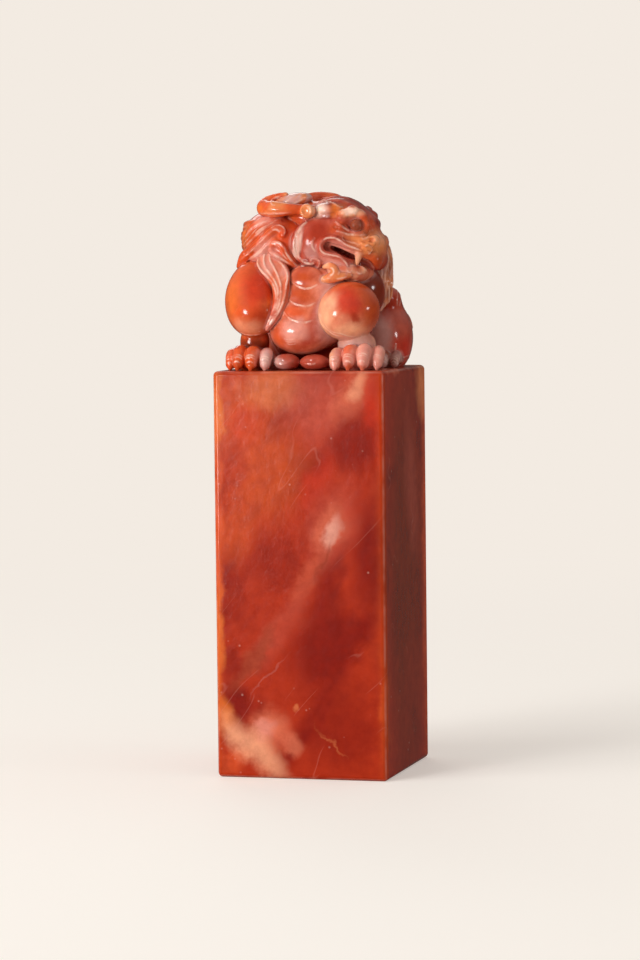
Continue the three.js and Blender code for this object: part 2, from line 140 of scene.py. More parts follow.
class SealSizes(PropertyGroup):
    """The sizes of the shaft's details"""
    edge_round: length_property("Edge rounding", "Radius of the shaft's edges", 0.8)
    relief_depth: length_property("Relief depth", "Depth of the relief in the sealing face", 0.8)
    border_width: length_property("Border width", "Width of the relief's border", 1.8)
    stroke_width: length_property("Stroke width", "Width of the relief's raised strokes", 1.3)
    groove_width: length_property("Groove width", "Width of the hollows between strokes", 1.2)


def direction(azimuth, elevation):
    """The way from the seal to a camera or a lamp."""
    a, e = radians(azimuth), radians(elevation)
    return Vector((sin(a) * cos(e), -cos(a) * cos(e), sin(e)))


def camera_axes():
    """The camera's right, up and back directions."""
    back = direction(CAMERA_AZIMUTH, CAMERA_ELEVATION)
    right = Vector((cos(radians(CAMERA_AZIMUTH)), sin(radians(CAMERA_AZIMUTH)), 0.0))
    roll = Matrix.Rotation(radians(CAMERA_ROLL), 3, back)
    return roll @ right, roll @ back.cross(right), back


def camera_rays(points):
    """The directions of the camera's rays through places on the carving."""
    place = Vector(CAMERA_TARGET) + CAMERA_DISTANCE * camera_axes()[2]
    rays = points - (np.array(place) - (0, 0, SHAFT_TOP))
    return rays / np.linalg.norm(rays, axis=1)[:, None]


# Paths

def drawn(*numbers):
    """The points of a drawing, from their coordinates in turn."""
    return np.reshape(numbers, (-1, 2)).astype(float)


def to_side(side, *numbers):
    """Places on the head's near side, from their coordinates in turn, or mirrored to its far side."""
    places = np.reshape(numbers, (-1, 3)).astype(float)
    if side > 0:
        places[:, 1] = 2 * HEAD_MIDDLE - places[:, 1]
    return places


def folded(places):
    """Places with those beyond the head's middle mirrored to the near side."""
    places = np.array(places, float)
    places[..., 1] = HEAD_MIDDLE - np.abs(places[..., 1] - HEAD_MIDDLE)
    return places


def run_along(path):
    """How far along a path each of its points is."""
    return np.insert(np.cumsum(np.linalg.norm(np.diff(path, axis=0), axis=1)), 0, 0)


def smooth_path(points, spacing):
    """Evenly spaced places on a smooth curve through the points."""
    knots = run_along(points)
    slopes = np.gradient(points, knots, axis=0)
    fine = np.linspace(0, knots[-1], max(3, int(4 * knots[-1] / spacing)))
    part = np.clip(np.searchsorted(knots, fine, side="right") - 1, 0, len(points) - 2)
    length = np.diff(knots)[part, None]
    t = (fine - knots[part])[:, None] / length
    curve = (
        (2 * t**3 - 3 * t**2 + 1) * points[part]
        + (t**3 - 2 * t**2 + t) * length * slopes[part]
        + (3 * t**2 - 2 * t**3) * points[part + 1]
        + (t**3 - t**2) * length * slopes[part + 1]
    )
    run = run_along(curve)
    even = np.linspace(0, run[-1], max(2, round(run[-1] / spacing) + 1))
    return np.stack([np.interp(even, run, column) for column in curve.T], axis=1)


def spread(shares, count):
    """The shares, spread evenly over a number of places."""
    return np.interp(np.linspace(0, 1, count), np.linspace(0, 1, len(shares)), shares)


def beside(offsets, step):
    """How far places are from a straight stretch and how far along it, from their offsets to its start."""
    length = max(float(step @ step), 1e-9)
    along = np.clip(sum(o * s for o, s in zip(offsets, step)) / length, 0, 1)
    return np.sqrt(sum((o - along * s) ** 2 for o, s in zip(offsets, step))), along


# Shapes to sculpt with

class Egg:
    """An egg-shaped mass, turned about X, then Y, then Z."""

    def __init__(self, at, radii, turn=(0, 0, 0)):
        self.at = np.array(at, float)
        self.radii = np.array(radii, float)
        self.turn = np.array(Euler([radians(angle) for angle in turn]).to_matrix())

    def parts(self, margin):
        reach = np.sqrt(((self.turn * self.radii) ** 2).sum(1)) + margin
        yield self.at - reach, self.at + reach, self.distance

    def distance(self, places):
        offsets = [place - centre for place, centre in zip(places, self.at)]
        near, steep = 0.0, 0.0
        for axis, radius in enumerate(self.radii):
            along = sum(self.turn[k, axis] * offsets[k] for k in range(3) if abs(self.turn[k, axis]) > 1e-9)
            near = near + (along / radius) ** 2
            steep = steep + (along / radius**2) ** 2
        near = np.sqrt(near)
        return near * (near - 1.0) / np.sqrt(steep + 1e-6)


class Strand:
    """A round strand along a path, as thick as its shares of the radius say."""

    def __init__(self, path, radius, shares=(1, 1), smooth=True):
        path = np.reshape(path, (-1, 3)).astype(float)
        self.path = smooth_path(path, max(0.3, radius * 0.6)) if smooth else path
        self.radii = radius * spread(shares, len(self.path))

    def parts(self, margin):
        for k in range(len(self.path) - 1):
            ends, radii = self.path[k:k + 2], self.radii[k:k + 2]
            reach = radii.max() + margin

            def distance(places, ends=ends, radii=radii):
                offsets = [place - start for place, start in zip(places, ends[0])]
                gap, along = beside(offsets, ends[1] - ends[0])
                return gap - (radii[0] + along * (radii[1] - radii[0]))

            yield ends.min(0) - reach, ends.max(0) + reach, distance


class Slot:
    """A gap along a line drawn on the XZ plane, running along Y between two depths."""

    def __init__(self, line, halves, deep):
        self.line = smooth_path(drawn(*line), 0.4)
        self.halves = spread(halves, len(self.line))
        self.deep = deep

    def parts(self, margin):
        for k in range(len(self.line) - 1):
            ends, halves = self.line[k:k + 2], self.halves[k:k + 2]
            reach = halves.max() + margin
            low = np.insert(ends.min(0) - reach, 1, self.deep[0] - margin)
            high = np.insert(ends.max(0) + reach, 1, self.deep[1] + margin)

            def distance(places, ends=ends, halves=halves):
                x, y, z = places
                gap, along = beside((x - ends[0, 0], z - ends[0, 1]), ends[1] - ends[0])
                inside = gap - (halves[0] + along * (halves[1] - halves[0]))
                return np.maximum(inside, np.maximum(self.deep[0] - y, y - self.deep[1]))

            yield low, high, distance


def smooth_min(a, b, blend):
    """The lower of two distances, rounded where they meet."""
    lower = np.minimum(a, b)
    if blend <= 0:
        return lower
    near = np.maximum(blend - np.abs(a - b), 0.0) / blend
    return lower - near * near * blend * 0.25


class Clay:
    """A piece of the carving as a grid of distances to its skin, negative inside."""

    def __init__(self, low, high, mirrored=False, step=STEP):
        first = np.floor(np.array(low) / COARSE_STEP) * COARSE_STEP
        last = np.ceil(np.array(high) / COARSE_STEP) * COARSE_STEP
        if mirrored:
            last[1] = HEAD_MIDDLE
        self.step = step
        self.mirrored = mirrored
        self.first = first
        counts = np.round((last - first) / step).astype(int) + 1
        self.axes = [(first[a] + step * np.arange(counts[a])).astype(np.float32) for a in range(3)]
        self.field = np.full(counts, FAR, np.float32)

    def window(self, low, high):
        """The part of the grid between two corners."""
        slices, places = [], []
        for axis, line in enumerate(self.axes):
            start = int(np.searchsorted(line, low[axis]))
            stop = int(np.searchsorted(line, high[axis], side="right"))
            shape = [1, 1, 1]
            shape[axis] = -1
            slices.append(slice(start, stop))
            places.append(line[start:stop].reshape(shape))
        return tuple(slices), places

    def form(self, shape, margin):
        """A shape's own distances, and the part of the grid that it reaches."""
        parts = list(shape.parts(margin))
        low = np.min([part[0] for part in parts], axis=0)
        high = np.max([part[1] for part in parts], axis=0)
        whole, places = self.window(low, high)
        own = np.full([place.size for place in places], FAR, np.float32)
        for part_low, part_high, distance in parts:
            slices, places = self.window(part_low, part_high)
            if min(place.size for place in places) == 0:
                continue
            inner = tuple(slice(s.start - w.start, s.stop - w.start) for s, w in zip(slices, whole))
            own[inner] = np.minimum(own[inner], distance(places))
        return whole, own

    def add(self, shape, blend=0.0):
        room = max(blend, EGG_ROOM) if isinstance(shape, Egg) else blend + STRAND_ROOM
        whole, own = self.form(shape, room + 2 * self.step)
        self.field[whole] = smooth_min(self.field[whole], own, blend)

    def cut(self, shape, blend=0.0):
        whole, own = self.form(shape, blend + 2 * self.step)
        self.field[whole] = -smooth_min(-self.field[whole], own, blend)

    def masses(self, *rows):
        """Adds eggs, each given by its place, its radii, its blend and any turn."""
        for row in rows:
            self.add(Egg(row[:3], row[3:6], row[7:] or (0, 0, 0)), row[6])

    def lay(self, drawing, radius, shares=(1, 1), blend=0.25, on=None, **where):
        """Adds a strand along a line drawn on this clay, or on another."""
        self.add(Strand((on or self).drape(drawing, **where), radius, shares), blend)

    def sample(self, places):
        """The distances at any places, FAR outside the grid."""
        places = folded(places) if self.mirrored else np.asarray(places, float)
        at = (places - self.first) / self.step
        low = np.floor(at).astype(int)
        part = at - low
        top = np.array(self.field.shape) - 2
        outside = ((low < 0) | (low > top)).any(-1)
        low = np.clip(low, 0, top)
        value = 0.0
        for corner in range(8):
            bits = np.array([(corner >> axis) & 1 for axis in range(3)])
            weight = np.where(bits, part, 1 - part).prod(-1)
            index = low + bits
            value = value + weight * self.field[index[..., 0], index[..., 1], index[..., 2]]
        return np.where(outside, FAR, value)

    def drape(self, drawing, view="photo", lift=0.0, plane=DRAWING_PLANE):
        """Lays a drawn line on the skin. In the photograph's view it is drawn on an upright plane."""
        line = smooth_path(drawn(*np.ravel(drawing)), 0.2)
        axis, way = VIEWS[view]
        points = np.insert(line, axis, 0 if way else plane, axis=1)
        rays = np.tile(np.array(way, float), (len(line), 1)) if way else camera_rays(points)
        run = np.arange(-DRAPE_REACH, DRAPE_REACH, self.step)
        places = points[:, None] + rays[:, None] * run[None, :, None]
        values = self.sample(places)
        inside = values < 0
        hit = np.where(inside.any(1), inside.argmax(1), values.argmin(1))
        kept = values.min(1) < DRAPE_GAP
        rows = np.arange(len(line))[kept]
        here = places[rows, hit[kept]]
        before = places[rows, np.maximum(hit[kept] - 1, 0)]
        value, last = self.sample(here), self.sample(before)
        share = np.clip(last / np.maximum(last - value, 1e-6), 0, 1)[:, None]
        return before + (here - before) * share - rays[kept] * lift

    def whole_field(self):
        if not self.mirrored:
            return self.field
        return np.concatenate((self.field, self.field[:, -2::-1]), axis=1)

    def mesh(self):
        """The skin as points and four-sided faces, closed at the grid's border."""
        field = self.whole_field().copy()
        for axis in range(3):
            layers = np.moveaxis(field, axis, 0)
            for end in (0, -1):
                layers[end] = np.maximum(layers[end], 0.5 * self.step)
        grid = openvdb.FloatGrid()
        grid.copyFromArray(field)
        points, quads = grid.convertToQuads(0.0)
        return points.astype(float) * self.step + self.first, quads.astype(np.int64)


class Skin:
    """A piece's skin, to draw fine lines on. Pale marks raised ridges, which the stone paints cream, partly
    as wear and partly as a painted highlight; deep marks cut lines, which it darkens as painted shade or
    tints with its hollow colour.
    """

    def __init__(self, clay):
        self.clay = clay
        self.points, self.quads = clay.mesh()
        edges = np.concatenate([self.quads[:, (k, (k + 1) % 4)] for k in range(4)])
        self.edges = np.unique(np.sort(edges, axis=1), axis=0)
        self.pale = np.zeros(len(self.points))
        self.deep = np.zeros(len(self.points))
        for _ in range(2):
            self.points = self.points + 0.5 * (self.spread_out(self.points) - self.points)

    def spread_out(self, values):
        """Each point's value averaged over the points beside it."""
        a, b = self.edges.T
        size = len(self.points)
        count = np.bincount(a, minlength=size) + np.bincount(b, minlength=size)
        total = np.stack([
            np.bincount(a, column[b], size) + np.bincount(b, column[a], size) for column in values.T
        ], axis=1)
        return total / np.maximum(count, 1)[:, None]

    def normals(self):
        corners = self.points[self.quads]
        faces = np.cross(corners[:, 2] - corners[:, 0], corners[:, 3] - corners[:, 1])
        total = np.stack([
            np.bincount(self.quads.ravel(), np.repeat(column, 4), len(self.points)) for column in faces.T
        ], axis=1)
        return total / np.maximum(np.linalg.norm(total, axis=1), 1e-12)[:, None]

    def line(self, drawing, height, width, mark, ends=0.25, lap=0.0, **where):
        """Raises a drawn line and marks it pale or, with a height below nought, cuts it and marks it deep.
        Lap sinks the skin on the line's right-hand side, so the other side overlaps it."""
        path = self.clay.drape(drawing, **where)
        if len(path) < 3:
            return
        places = folded(self.points) if self.clay.mirrored else self.points
        reach = 3 * width if lap else width
        index = np.nonzero(((places > path.min(0) - reach) & (places < path.max(0) + reach)).all(1))[0]
        if not len(index):
            return
        gaps = np.linalg.norm(places[index][:, None] - path, axis=2)
        nearest = gaps.argmin(1)
        gaps = gaps.min(1)
        along = nearest / (len(path) - 1)
        taper = np.clip(np.minimum(along, 1 - along) / ends, 0, 1) ** 0.6
        profile = np.clip(1 - (gaps / width) ** 2, 0, 1) ** 2 * taper
        normals = self.normals()[index]
        shift = height * profile
        if lap:
            across = np.cross(np.gradient(path, axis=0)[nearest], normals)
            side = (across * (places[index] - path[nearest])).sum(1)
            fall = np.clip(1 - gaps / (3 * width), 0, 1) ** 2 * taper
            shift = shift - np.where(side > 0, lap * fall, 0)
        self.points[index] += normals * shift[:, None]
        marks = self.pale if height > 0 else self.deep
        marks[index] = np.maximum(marks[index], mark * profile ** 0.5)

    def lines(self, *rows, **where):
        """Draws lines, each given by its height, width, mark and the coordinates of its drawing."""
        for height, width, mark, *drawing in rows:
            self.line(drawing, height, width, mark, **where)

    def curvature(self):
        """How far each point stands out from those around it: above nought on ridges."""
        bend = ((self.points - self.spread_out(self.points)) * self.normals()).sum(1) / self.clay.step ** 2
        for _ in range(2):
            bend = 0.5 * bend + 0.5 * self.spread_out(bend[:, None])[:, 0]
        return bend


CARVED = {}


def add_object(name, mesh):
    thing = bpy.data.objects.new(name, mesh)
    bpy.context.scene.collection.objects.link(thing)
    return thing


def from_bmesh(name, shape):
    data = bpy.data.meshes.new(name)
    shape.to_mesh(data)
    shape.free()
    return add_object(name, data)


def place_piece(piece, material, nodes):
    piece.data.materials.append(material)
    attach(piece, "root")
    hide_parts(*nodes)


def carve(name, skin, slot, material, *nodes):
    """Turns a sculpted skin into a piece that stands for its nodes, or for the node of its own name."""
    count, quads = len(skin.points), skin.quads
    mesh = bpy.data.meshes.new(name)
    mesh.vertices.add(count)
    metres = (skin.points + (0, 0, SHAFT_TOP)) * SQUARE
    mesh.vertices.foreach_set("co", metres.astype(np.float32).ravel())
    mesh.loops.add(quads.size)
    mesh.loops.foreach_set("vertex_index", quads.astype(np.int32).ravel())
    mesh.polygons.add(len(quads))
    mesh.polygons.foreach_set("loop_start", np.arange(0, quads.size, 4, dtype=np.int32))
    mesh.polygons.foreach_set("use_smooth", np.ones(len(quads), bool))
    mesh.update(calc_edges=True)
    # pale and bend carry the painted highlights on ridges, bend and deep the painted shade in hollows and cut
    # lines, and seam the dust
    marks = {"pale": skin.pale, "deep": skin.deep, "bend": skin.curvature(), "seam": np.zeros(count)}
    for key, values in marks.items():
        mesh.attributes.new(key, "FLOAT", "POINT").data.foreach_set("value", values.astype(np.float32))
    piece = add_object(name, mesh)
    place_piece(piece, material, nodes or [name])
    CARVED[name] = (skin, piece)


# The head

EYE = (8.6, -7.5, 24.45)
LIP = (
    9.6, 20.2, 7.9, 20.8, 6.7, 21.3, 5.7, 22, 4.6, 22.4, 3.2, 22.2, 2.4, 21.3, 2.4, 20.4,
    3, 19.8, 4.2, 19.5, 5.7, 19.1, 6.7, 18.3, 7.5, 17,
)
RIM = (0.1, 25.3, -1, 24.2, -1.8, 23, -2.2, 21.6, -2.1, 20.3, -1.4, 19.1, -0.4, 18.3, 0.7, 18, 1.3, 18.2)
RIM_CURL = (-1.2, 17.8, 0.1, 17.2, 1.2, 17.1, 2, 17.5, 2.2, 18.3, 1.6, 18.9, 0.8, 18.8, 0.6, 18.3)
BROW = (5.9, 26.4, 7, 26.6, 7.9, 26.7, 8.9, 26.7, 9.7, 26.3, 10.2, 25.5, 10.2, 24.8)


def head_skin():
    clay = Clay((-4.2, -10.8, 13.8), (15, HEAD_MIDDLE, 30.6), mirrored=True)
    clay.masses(
        (4.5, HEAD_MIDDLE, 21.9, 7.35, 5.9, 7.35, 0, 0, 14, 0),
        (9, HEAD_MIDDLE, 20.9, 3.7, 4.5, 3, 1.5, 0, 12, 0),
        (10.3, -3, 19.3, 2.1, 4.1, 2.2, 0.8), (11, -4.9, 18.6, 1.5, 1.9, 1.7, 0.35),
        (11.1, -4.6, 17.5, 0.9, 1.3, 0.9, 0.3), (10.9, -3, 22.3, 1.3, 3.3, 1.2, 0.4),
        (11, -5.9, 21.8, 1.35, 1.35, 1.25, 0.3), (11.9, -4.4, 21.5, 0.9, 1.2, 1, 0.2),
        (9.4, -6.9, 20.5, 1.9, 1.1, 1.3, 0.4), (9.6, -3, 24.8, 1.7, 2.6, 1.6, 0.6),
        (4.4, -7.1, 19.8, 3.6, 2, 2.6, 1.2), (5.6, -6.6, 17.9, 2.4, 2.2, 1.3, 0.9),
        (4.2, -3, 27.4, 2.6, 3.4, 1.7, 0.8), (3.6, -5.8, 27.1, 2.9, 2.3, 1.4, 0.3),
        (1, -6.9, 21.6, 3.1, 2.9, 4.2, 1.4),
    )
    # The eye's hollow, and the notches above the nose and above the upper lip
    clay.cut(Egg((8.5, -8.8, 24.45), (2.1, 2, 1.65)), 0.5)
    clay.cut(Strand((12.5, -3, 23.8, 11.9, -5.2, 23.7, 10.4, -6.8, 23.4), 0.75), 0.4)
    clay.cut(Strand((13.5, -3, 20.3, 13.1, -5.2, 20.3, 12, -6.9, 20.1), 0.4), 0.3)
    # The brow with its tufts, and the lower lid
    clay.lay(BROW, 0.75, (0.6, 0.9, 1, 1, 0.6), 0.5, lift=0.35)
    for x, z, radius in ((6.6, 26.5, 0.7), (8.1, 26.9, 0.95), (9.6, 26.1, 0.8)):
        tuft = clay.drape((x, z, x + 0.1, z), lift=-0.1)[0]
        clay.add(Egg(tuft, (radius * 1.2, radius, radius)), 0.5)
    clay.masses((9.9, -6.3, 24.4, 0.8, 0.9, 1.05, 0.2), (10.5, -4.7, 24.6, 0.8, 0.9, 1.05, 0.2))
    clay.lay((6.9, 24.3, 7.5, 23.5, 8.6, 23.1, 9.8, 23.2, 10.6, 23.4), 0.42, (0.5, 1, 1, 0.9, 0.6))
    # The mouth: a hollow inside the rolled lip, the slot, and the gap behind the upper lip
    lip = clay.drape(LIP, lift=0.12)
    clay.cut(Slot((3.9, 20.9, 5.7, 20.2, 7.2, 19.5, 8.8, 18.9), (0.75, 0.9, 0.9, 0.7), (-14, -8.35)), 0.5)
    clay.cut(Slot((4.5, 20.7, 5.7, 20.15, 6.9, 19.55, 8.3, 19), (0.34, 0.48, 0.52, 0.42), (-14, -4.6)), 0.2)
    clay.cut(Slot((8.8, 18.3, 10.2, 17.6, 11, 16.2), (0.7, 1, 0.9), (-14, -4.2)), 0.3)
    clay.cut(Slot((7.6, 15, 9.6, 15.8, 11, 14.9), (0.9, 1.2, 1), (-14, 1)), 0.3)
    clay.add(Strand(lip, 0.47, (0.5, 0.9, 1, 1.05, 1.1, 1.15, 1.1, 1, 0.9, 0.7)), 0.3)
    clay.lay(RIM, 0.6, (0.3, 0.85, 1.1, 1.15, 1.05, 0.9, 0.75, 0.5), lift=0.1)
    clay.lay(RIM_CURL, 0.42, (0.5, 1, 1.1, 1.1, 1, 0.9, 0.7), 0.2, lift=0.1)
    # The tooth and the nostril
    clay.add(Strand((9.1, -7.3, 20, 8.95, -7.7, 18.9, 8.75, -7.7, 17.9), 0.62, (1.2, 0.95, 0.45)), 0.25)
    clay.lay((9.6, 21.3, 10.3, 21, 11, 21.4, 11.7, 21.3), 0.4, blend=0.2)
    clay.cut(Egg((11.2, -7.2, 21.95), (0.5, 0.7, 0.42)), 0.25)

    skin = Skin(clay)
    skin.lines(
        (0.2, 0.3, 0.8, 4.9, 25.2, 6, 24.5, 6.8, 23.9, 7.6, 23.5),
        (0.26, 0.32, 0.9, 5.2, 23.7, 6.2, 23.2, 7.3, 22.9, 8.4, 22.85, 9.8, 22.8, 10.6, 22.9),
        (-0.16, 0.4, 0.4, 6, 22.7, 6.9, 22.2, 8, 22, 9.2, 21.9),
        (0.1, 0.25, 0.5, 6.4, 22.9, 6.3, 22.2, 6.9, 21.7),
        (-0.14, 0.4, 0.5, 4.6, 24.4, 5.2, 24, 5.8, 23.9),
    )
    skin.line(LIP, 0.08, 0.22, 1, ends=0.08)
    skin.line(RIM, 0.05, 0.34, 0.9, ends=0.1)
    skin.line(drawn(*RIM)[1:7] + (1, 0), -0.22, 0.6, 0.3)
    skin.line(RIM_CURL, 0.06, 0.22, 0.9, ends=0.1)
    skin.lines(
        (0.12, 0.3, 0.6, 1.5, 22.6, 1, 21.8, 1, 20.8, 1.6, 20),
        (0.24, 0.26, 1, 1.9, 28.5, 3.4, 28.5, 4.7, 28.2, 5.6, 27.7, 6.6, 27.5),
        (0.12, 0.22, 0.3, 4.9, 28.9, 6.4, 28.5, 7.8, 28, 9, 27.3, 9.9, 26.6),
        (-0.18, 0.4, 0.3, 1.4, 26, 3, 25.8, 4.5, 25.9, 5.8, 26),
        (0.12, 0.28, 0.5, 6.5, 22, 7.6, 21.6, 8.6, 21.4, 9.4, 21),
        (0.16, 0.28, 0.5, 9.4, 22.6, 10, 22.1, 10.6, 22.3, 11.1, 22.9),
        (0.14, 0.28, 0.6, 10.1, 20.8, 10.7, 21.1, 11.2, 20.8, 11.7, 21),
        (0.14, 0.28, 0.5, 11.6, 20.6, 11.3, 19.9, 10.6, 19.5),
        (-0.2, 0.35, 0.4, 10.6, 20.2, 11.6, 19.9, 12.4, 20.1),
        (-0.1, 0.35, 0.2, 9.2, 21.6, 9.5, 20.8, 9.2, 20.1),
        (-0.12, 0.3, 0.3, 9.9, 19.4, 10.9, 19.1, 11.9, 19.3),
        (0.12, 0.3, 0.5, 9.6, 18.9, 10.8, 18.4, 11.6, 17.4, 11.9, 16.6),
    )
    for y in (-5.4, -3.8, -2.2, -0.6):
        skin.line((-1.6, y, 1.6, y, 5, y, 8.6, y * 0.9 - 0.3), 0.24, 0.45, 0.4, view="top")
    return skin


def jaw_skin():
    clay = Clay((1.8, -9.9, 13.2), (13.2, HEAD_MIDDLE, 19.2), mirrored=True)
    clay.masses(
        (6.6, HEAD_MIDDLE, 16.5, 3.9, 5.6, 1.75, 0, 0, 4, 0), (8.3, HEAD_MIDDLE, 16.1, 1.75, 4.7, 1.4, 0.8),
        (9.1, -6, 16.7, 0.95, 0.9, 0.85, 0.3), (5.8, -7.2, 16.9, 2.6, 1.9, 1.6, 0.8),
    )
    skin = Skin(clay)
    skin.lines(
        (0.18, 0.3, 0.8, 6.4, 18, 7.4, 17.7, 8.6, 17.7, 9.8, 17.3, 10.6, 16.6),
        (-0.14, 0.4, 0.2, 6.2, 16.6, 7.2, 16.2, 8.6, 16, 10.2, 15.9),
        (0.12, 0.3, 0.6, 6.8, 17.1, 7.5, 16.5, 8, 16.9),
        (0.12, 0.3, 0.6, 8.6, 16.7, 9.3, 16.2, 9.9, 16.6), (0.12, 0.3, 0.6, 6.2, 15.4, 7.6, 15.1, 9.2, 15.2),
    )
    return skin


def eye_skin(side):
    at = to_side(side, *EYE)[0]
    clay = Clay(at - 1.8, at + 1.8)
    clay.add(Egg(at, (1.12, 1.12, 1.12)))
    clay.cut(Egg(at + (0.25, side * 1.15, -0.1), (0.22, 0.22, 0.22)), 0.1)
    return Skin(clay)


def ear_skin(side):
    ends = to_side(side, -2.1, -10.2, 24.6, 2.7, -5.4, 29.1)
    clay = Clay(ends.min(0), ends.max(0))
    clay.add(Strand(to_side(side, 0.6, -6, 26.8, 0.2, -8.3, 26.95), 1.3, (0.8, 1), smooth=False))
    clay.cut(Egg(to_side(side, 0.1, -10.1, 27)[0], (1.55, 1.2, 1.55)), 0.25)
    fold = to_side(side, 0.75, -8.9, 26.3, 0.1, -9.05, 26.1, -0.5, -9, 26.6, -0.6, -9, 27.3)
    clay.add(Strand(fold, 0.2, (0.5, 1, 1, 0.5)), 0.2)
    return Skin(clay)


def beard_skin(side):
    ends = to_side(side, 1.2, -11.1, 13.5, 9.3, -6.3, 19.2)
    clay = Clay(ends.min(0), ends.max(0))
    curl = to_side(
        side, 3.2, -8.5, 17.5, 4.2, -8.8, 17.65, 5.1, -9, 17.1, 5.25, -9.1, 16.3, 4.6, -9.1, 15.6, 3.3, -9.1,
        15.35,
    )
    clay.add(Strand(curl, 0.74, (0.55, 0.85, 0.95, 1.1, 1.15, 0.9)))
    root = to_side(side, 4.4, -8.9, 15.6, 5.9, -8.9, 15.8, 7.6, -8.2, 16.1)
    clay.add(Strand(root, 0.85, (1, 0.95, 0.6)), 0.4)
    clay.cut(Strand(to_side(side, 2.4, -9.7, 16.6, 3.5, -9.7, 16.6, 4.2, -9.7, 16.6), 0.34), 0.2)
    skin = Skin(clay)
    if side < 0:
        skin.lines(
            (0.1, 0.24, 0.9, 3.6, 18.1, 5, 18.15, 5.8, 17.5, 6, 16.7, 5.6, 16),
            (0.1, 0.24, 0.9, 4.3, 17.4, 4.9, 17, 4.9, 16.4, 4.2, 16),
            (0.1, 0.24, 0.9, 5.2, 15.4, 6.2, 15.5, 7.4, 15.8),
            plane=-9,
        )
    return skin


# The crown

def right_horn_skin():
    clay = Clay((-11.1, -8.4, 25.2), (2.4, -1.8, 31.2))
    path = (
        1.2, -5.9, 27.25, -1.8, -6.3, 27.3, -4, -6.4, 27.3, -6, -6.1, 27.35, -7.5, -5.4, 27.5,
        -8.35, -4.7, 28, -8.1, -4.2, 28.75, -7.1, -3.9, 29.3, -6, -3.8, 29.65, -4.8, -3.8, 29.85,
    )
    clay.add(Strand(path, 0.95, (0.8, 0.9, 0.95, 1.1, 1.4, 1.6, 1.3, 0.85, 0.64, 0.5)))
    clay.add(Egg((-8.2, -4.6, 27.5), (1.5, 1.6, 1.4)), 0.6)
    skin = Skin(clay)
    skin.line((-8.3, 26.7, -6.5, 26.6, -4.5, 26.65, -2.5, 26.75), 0.12, 0.3, 0.8)
    skin.line((-5.2, 29.7, -6.6, 29.35, -7.4, 28.8, -7.3, 28.3, -6.6, 28), 0.12, 0.22, 1, plane=-4)
    return skin


def left_horn_skin():
    clay = Clay((-7.8, -1.5, 25.2), (6.6, 4.8, 31.2))
    path = (5.2, -0.1, 28.4, 3.2, 0.3, 29.1, 0.6, 0.6, 29.35, -2, 0.9, 29, -4.4, 1.4, 28, -6.2, 2, 26.8)
    clay.add(Strand(path, 1, (0.45, 0.85, 1, 1.05, 1, 0.8)))
    skin = Skin(clay)
    skin.line((3.8, 0.1, 1.6, 0.1, -0.8, 0.4, -3.2, 0.9), 0.12, 0.3, 0.6, view="top")
    return skin


def crown_skin():
    clay = Clay((-8.1, -5.7, 26.4), (0.9, 0.6, 31.2))
    clay.add(Egg((-4, -2.8, 28.7), (3.7, 2.4, 1.4), (0, -11, 0)))
    skin = Skin(clay)
    skin.line((-6.6, 28.2, -4.6, 28, -2.8, 28.5, -1.1, 29.4), 0.14, 0.35, 1, plane=-4)
    skin.line((-6.4, 28.8, -4.6, 29.2, -2.6, 29.6), -0.1, 0.4, 0.4, plane=-4)
    return skin


# Mane and nape

def comb(skin, drawing, wide, **where):
    """Fine lines along a lock of hair: a groove between two ridges."""
    line = smooth_path(drawn(*np.ravel(drawing)), 0.5)
    along = np.gradient(line, axis=0)
    across = np.stack((-along[:, 1], along[:, 0]), axis=1) / np.linalg.norm(along, axis=1)[:, None]
    taper = np.sin(pi * np.linspace(0.15, 0.9, len(line)))[:, None]
    for share, height in ((-0.5, 0.15), (0, -0.15), (0.5, 0.15)):
        skin.line(line + across * wide * share * taper, height, 0.28, 0.6, **where)


def along_side(path, axes, shares, across, up=0):
    """A path as it is drawn from one side, moved by its shares of a shift."""
    return np.reshape(path, (-1, 3))[:, axes] + np.outer(shares, (across, up))


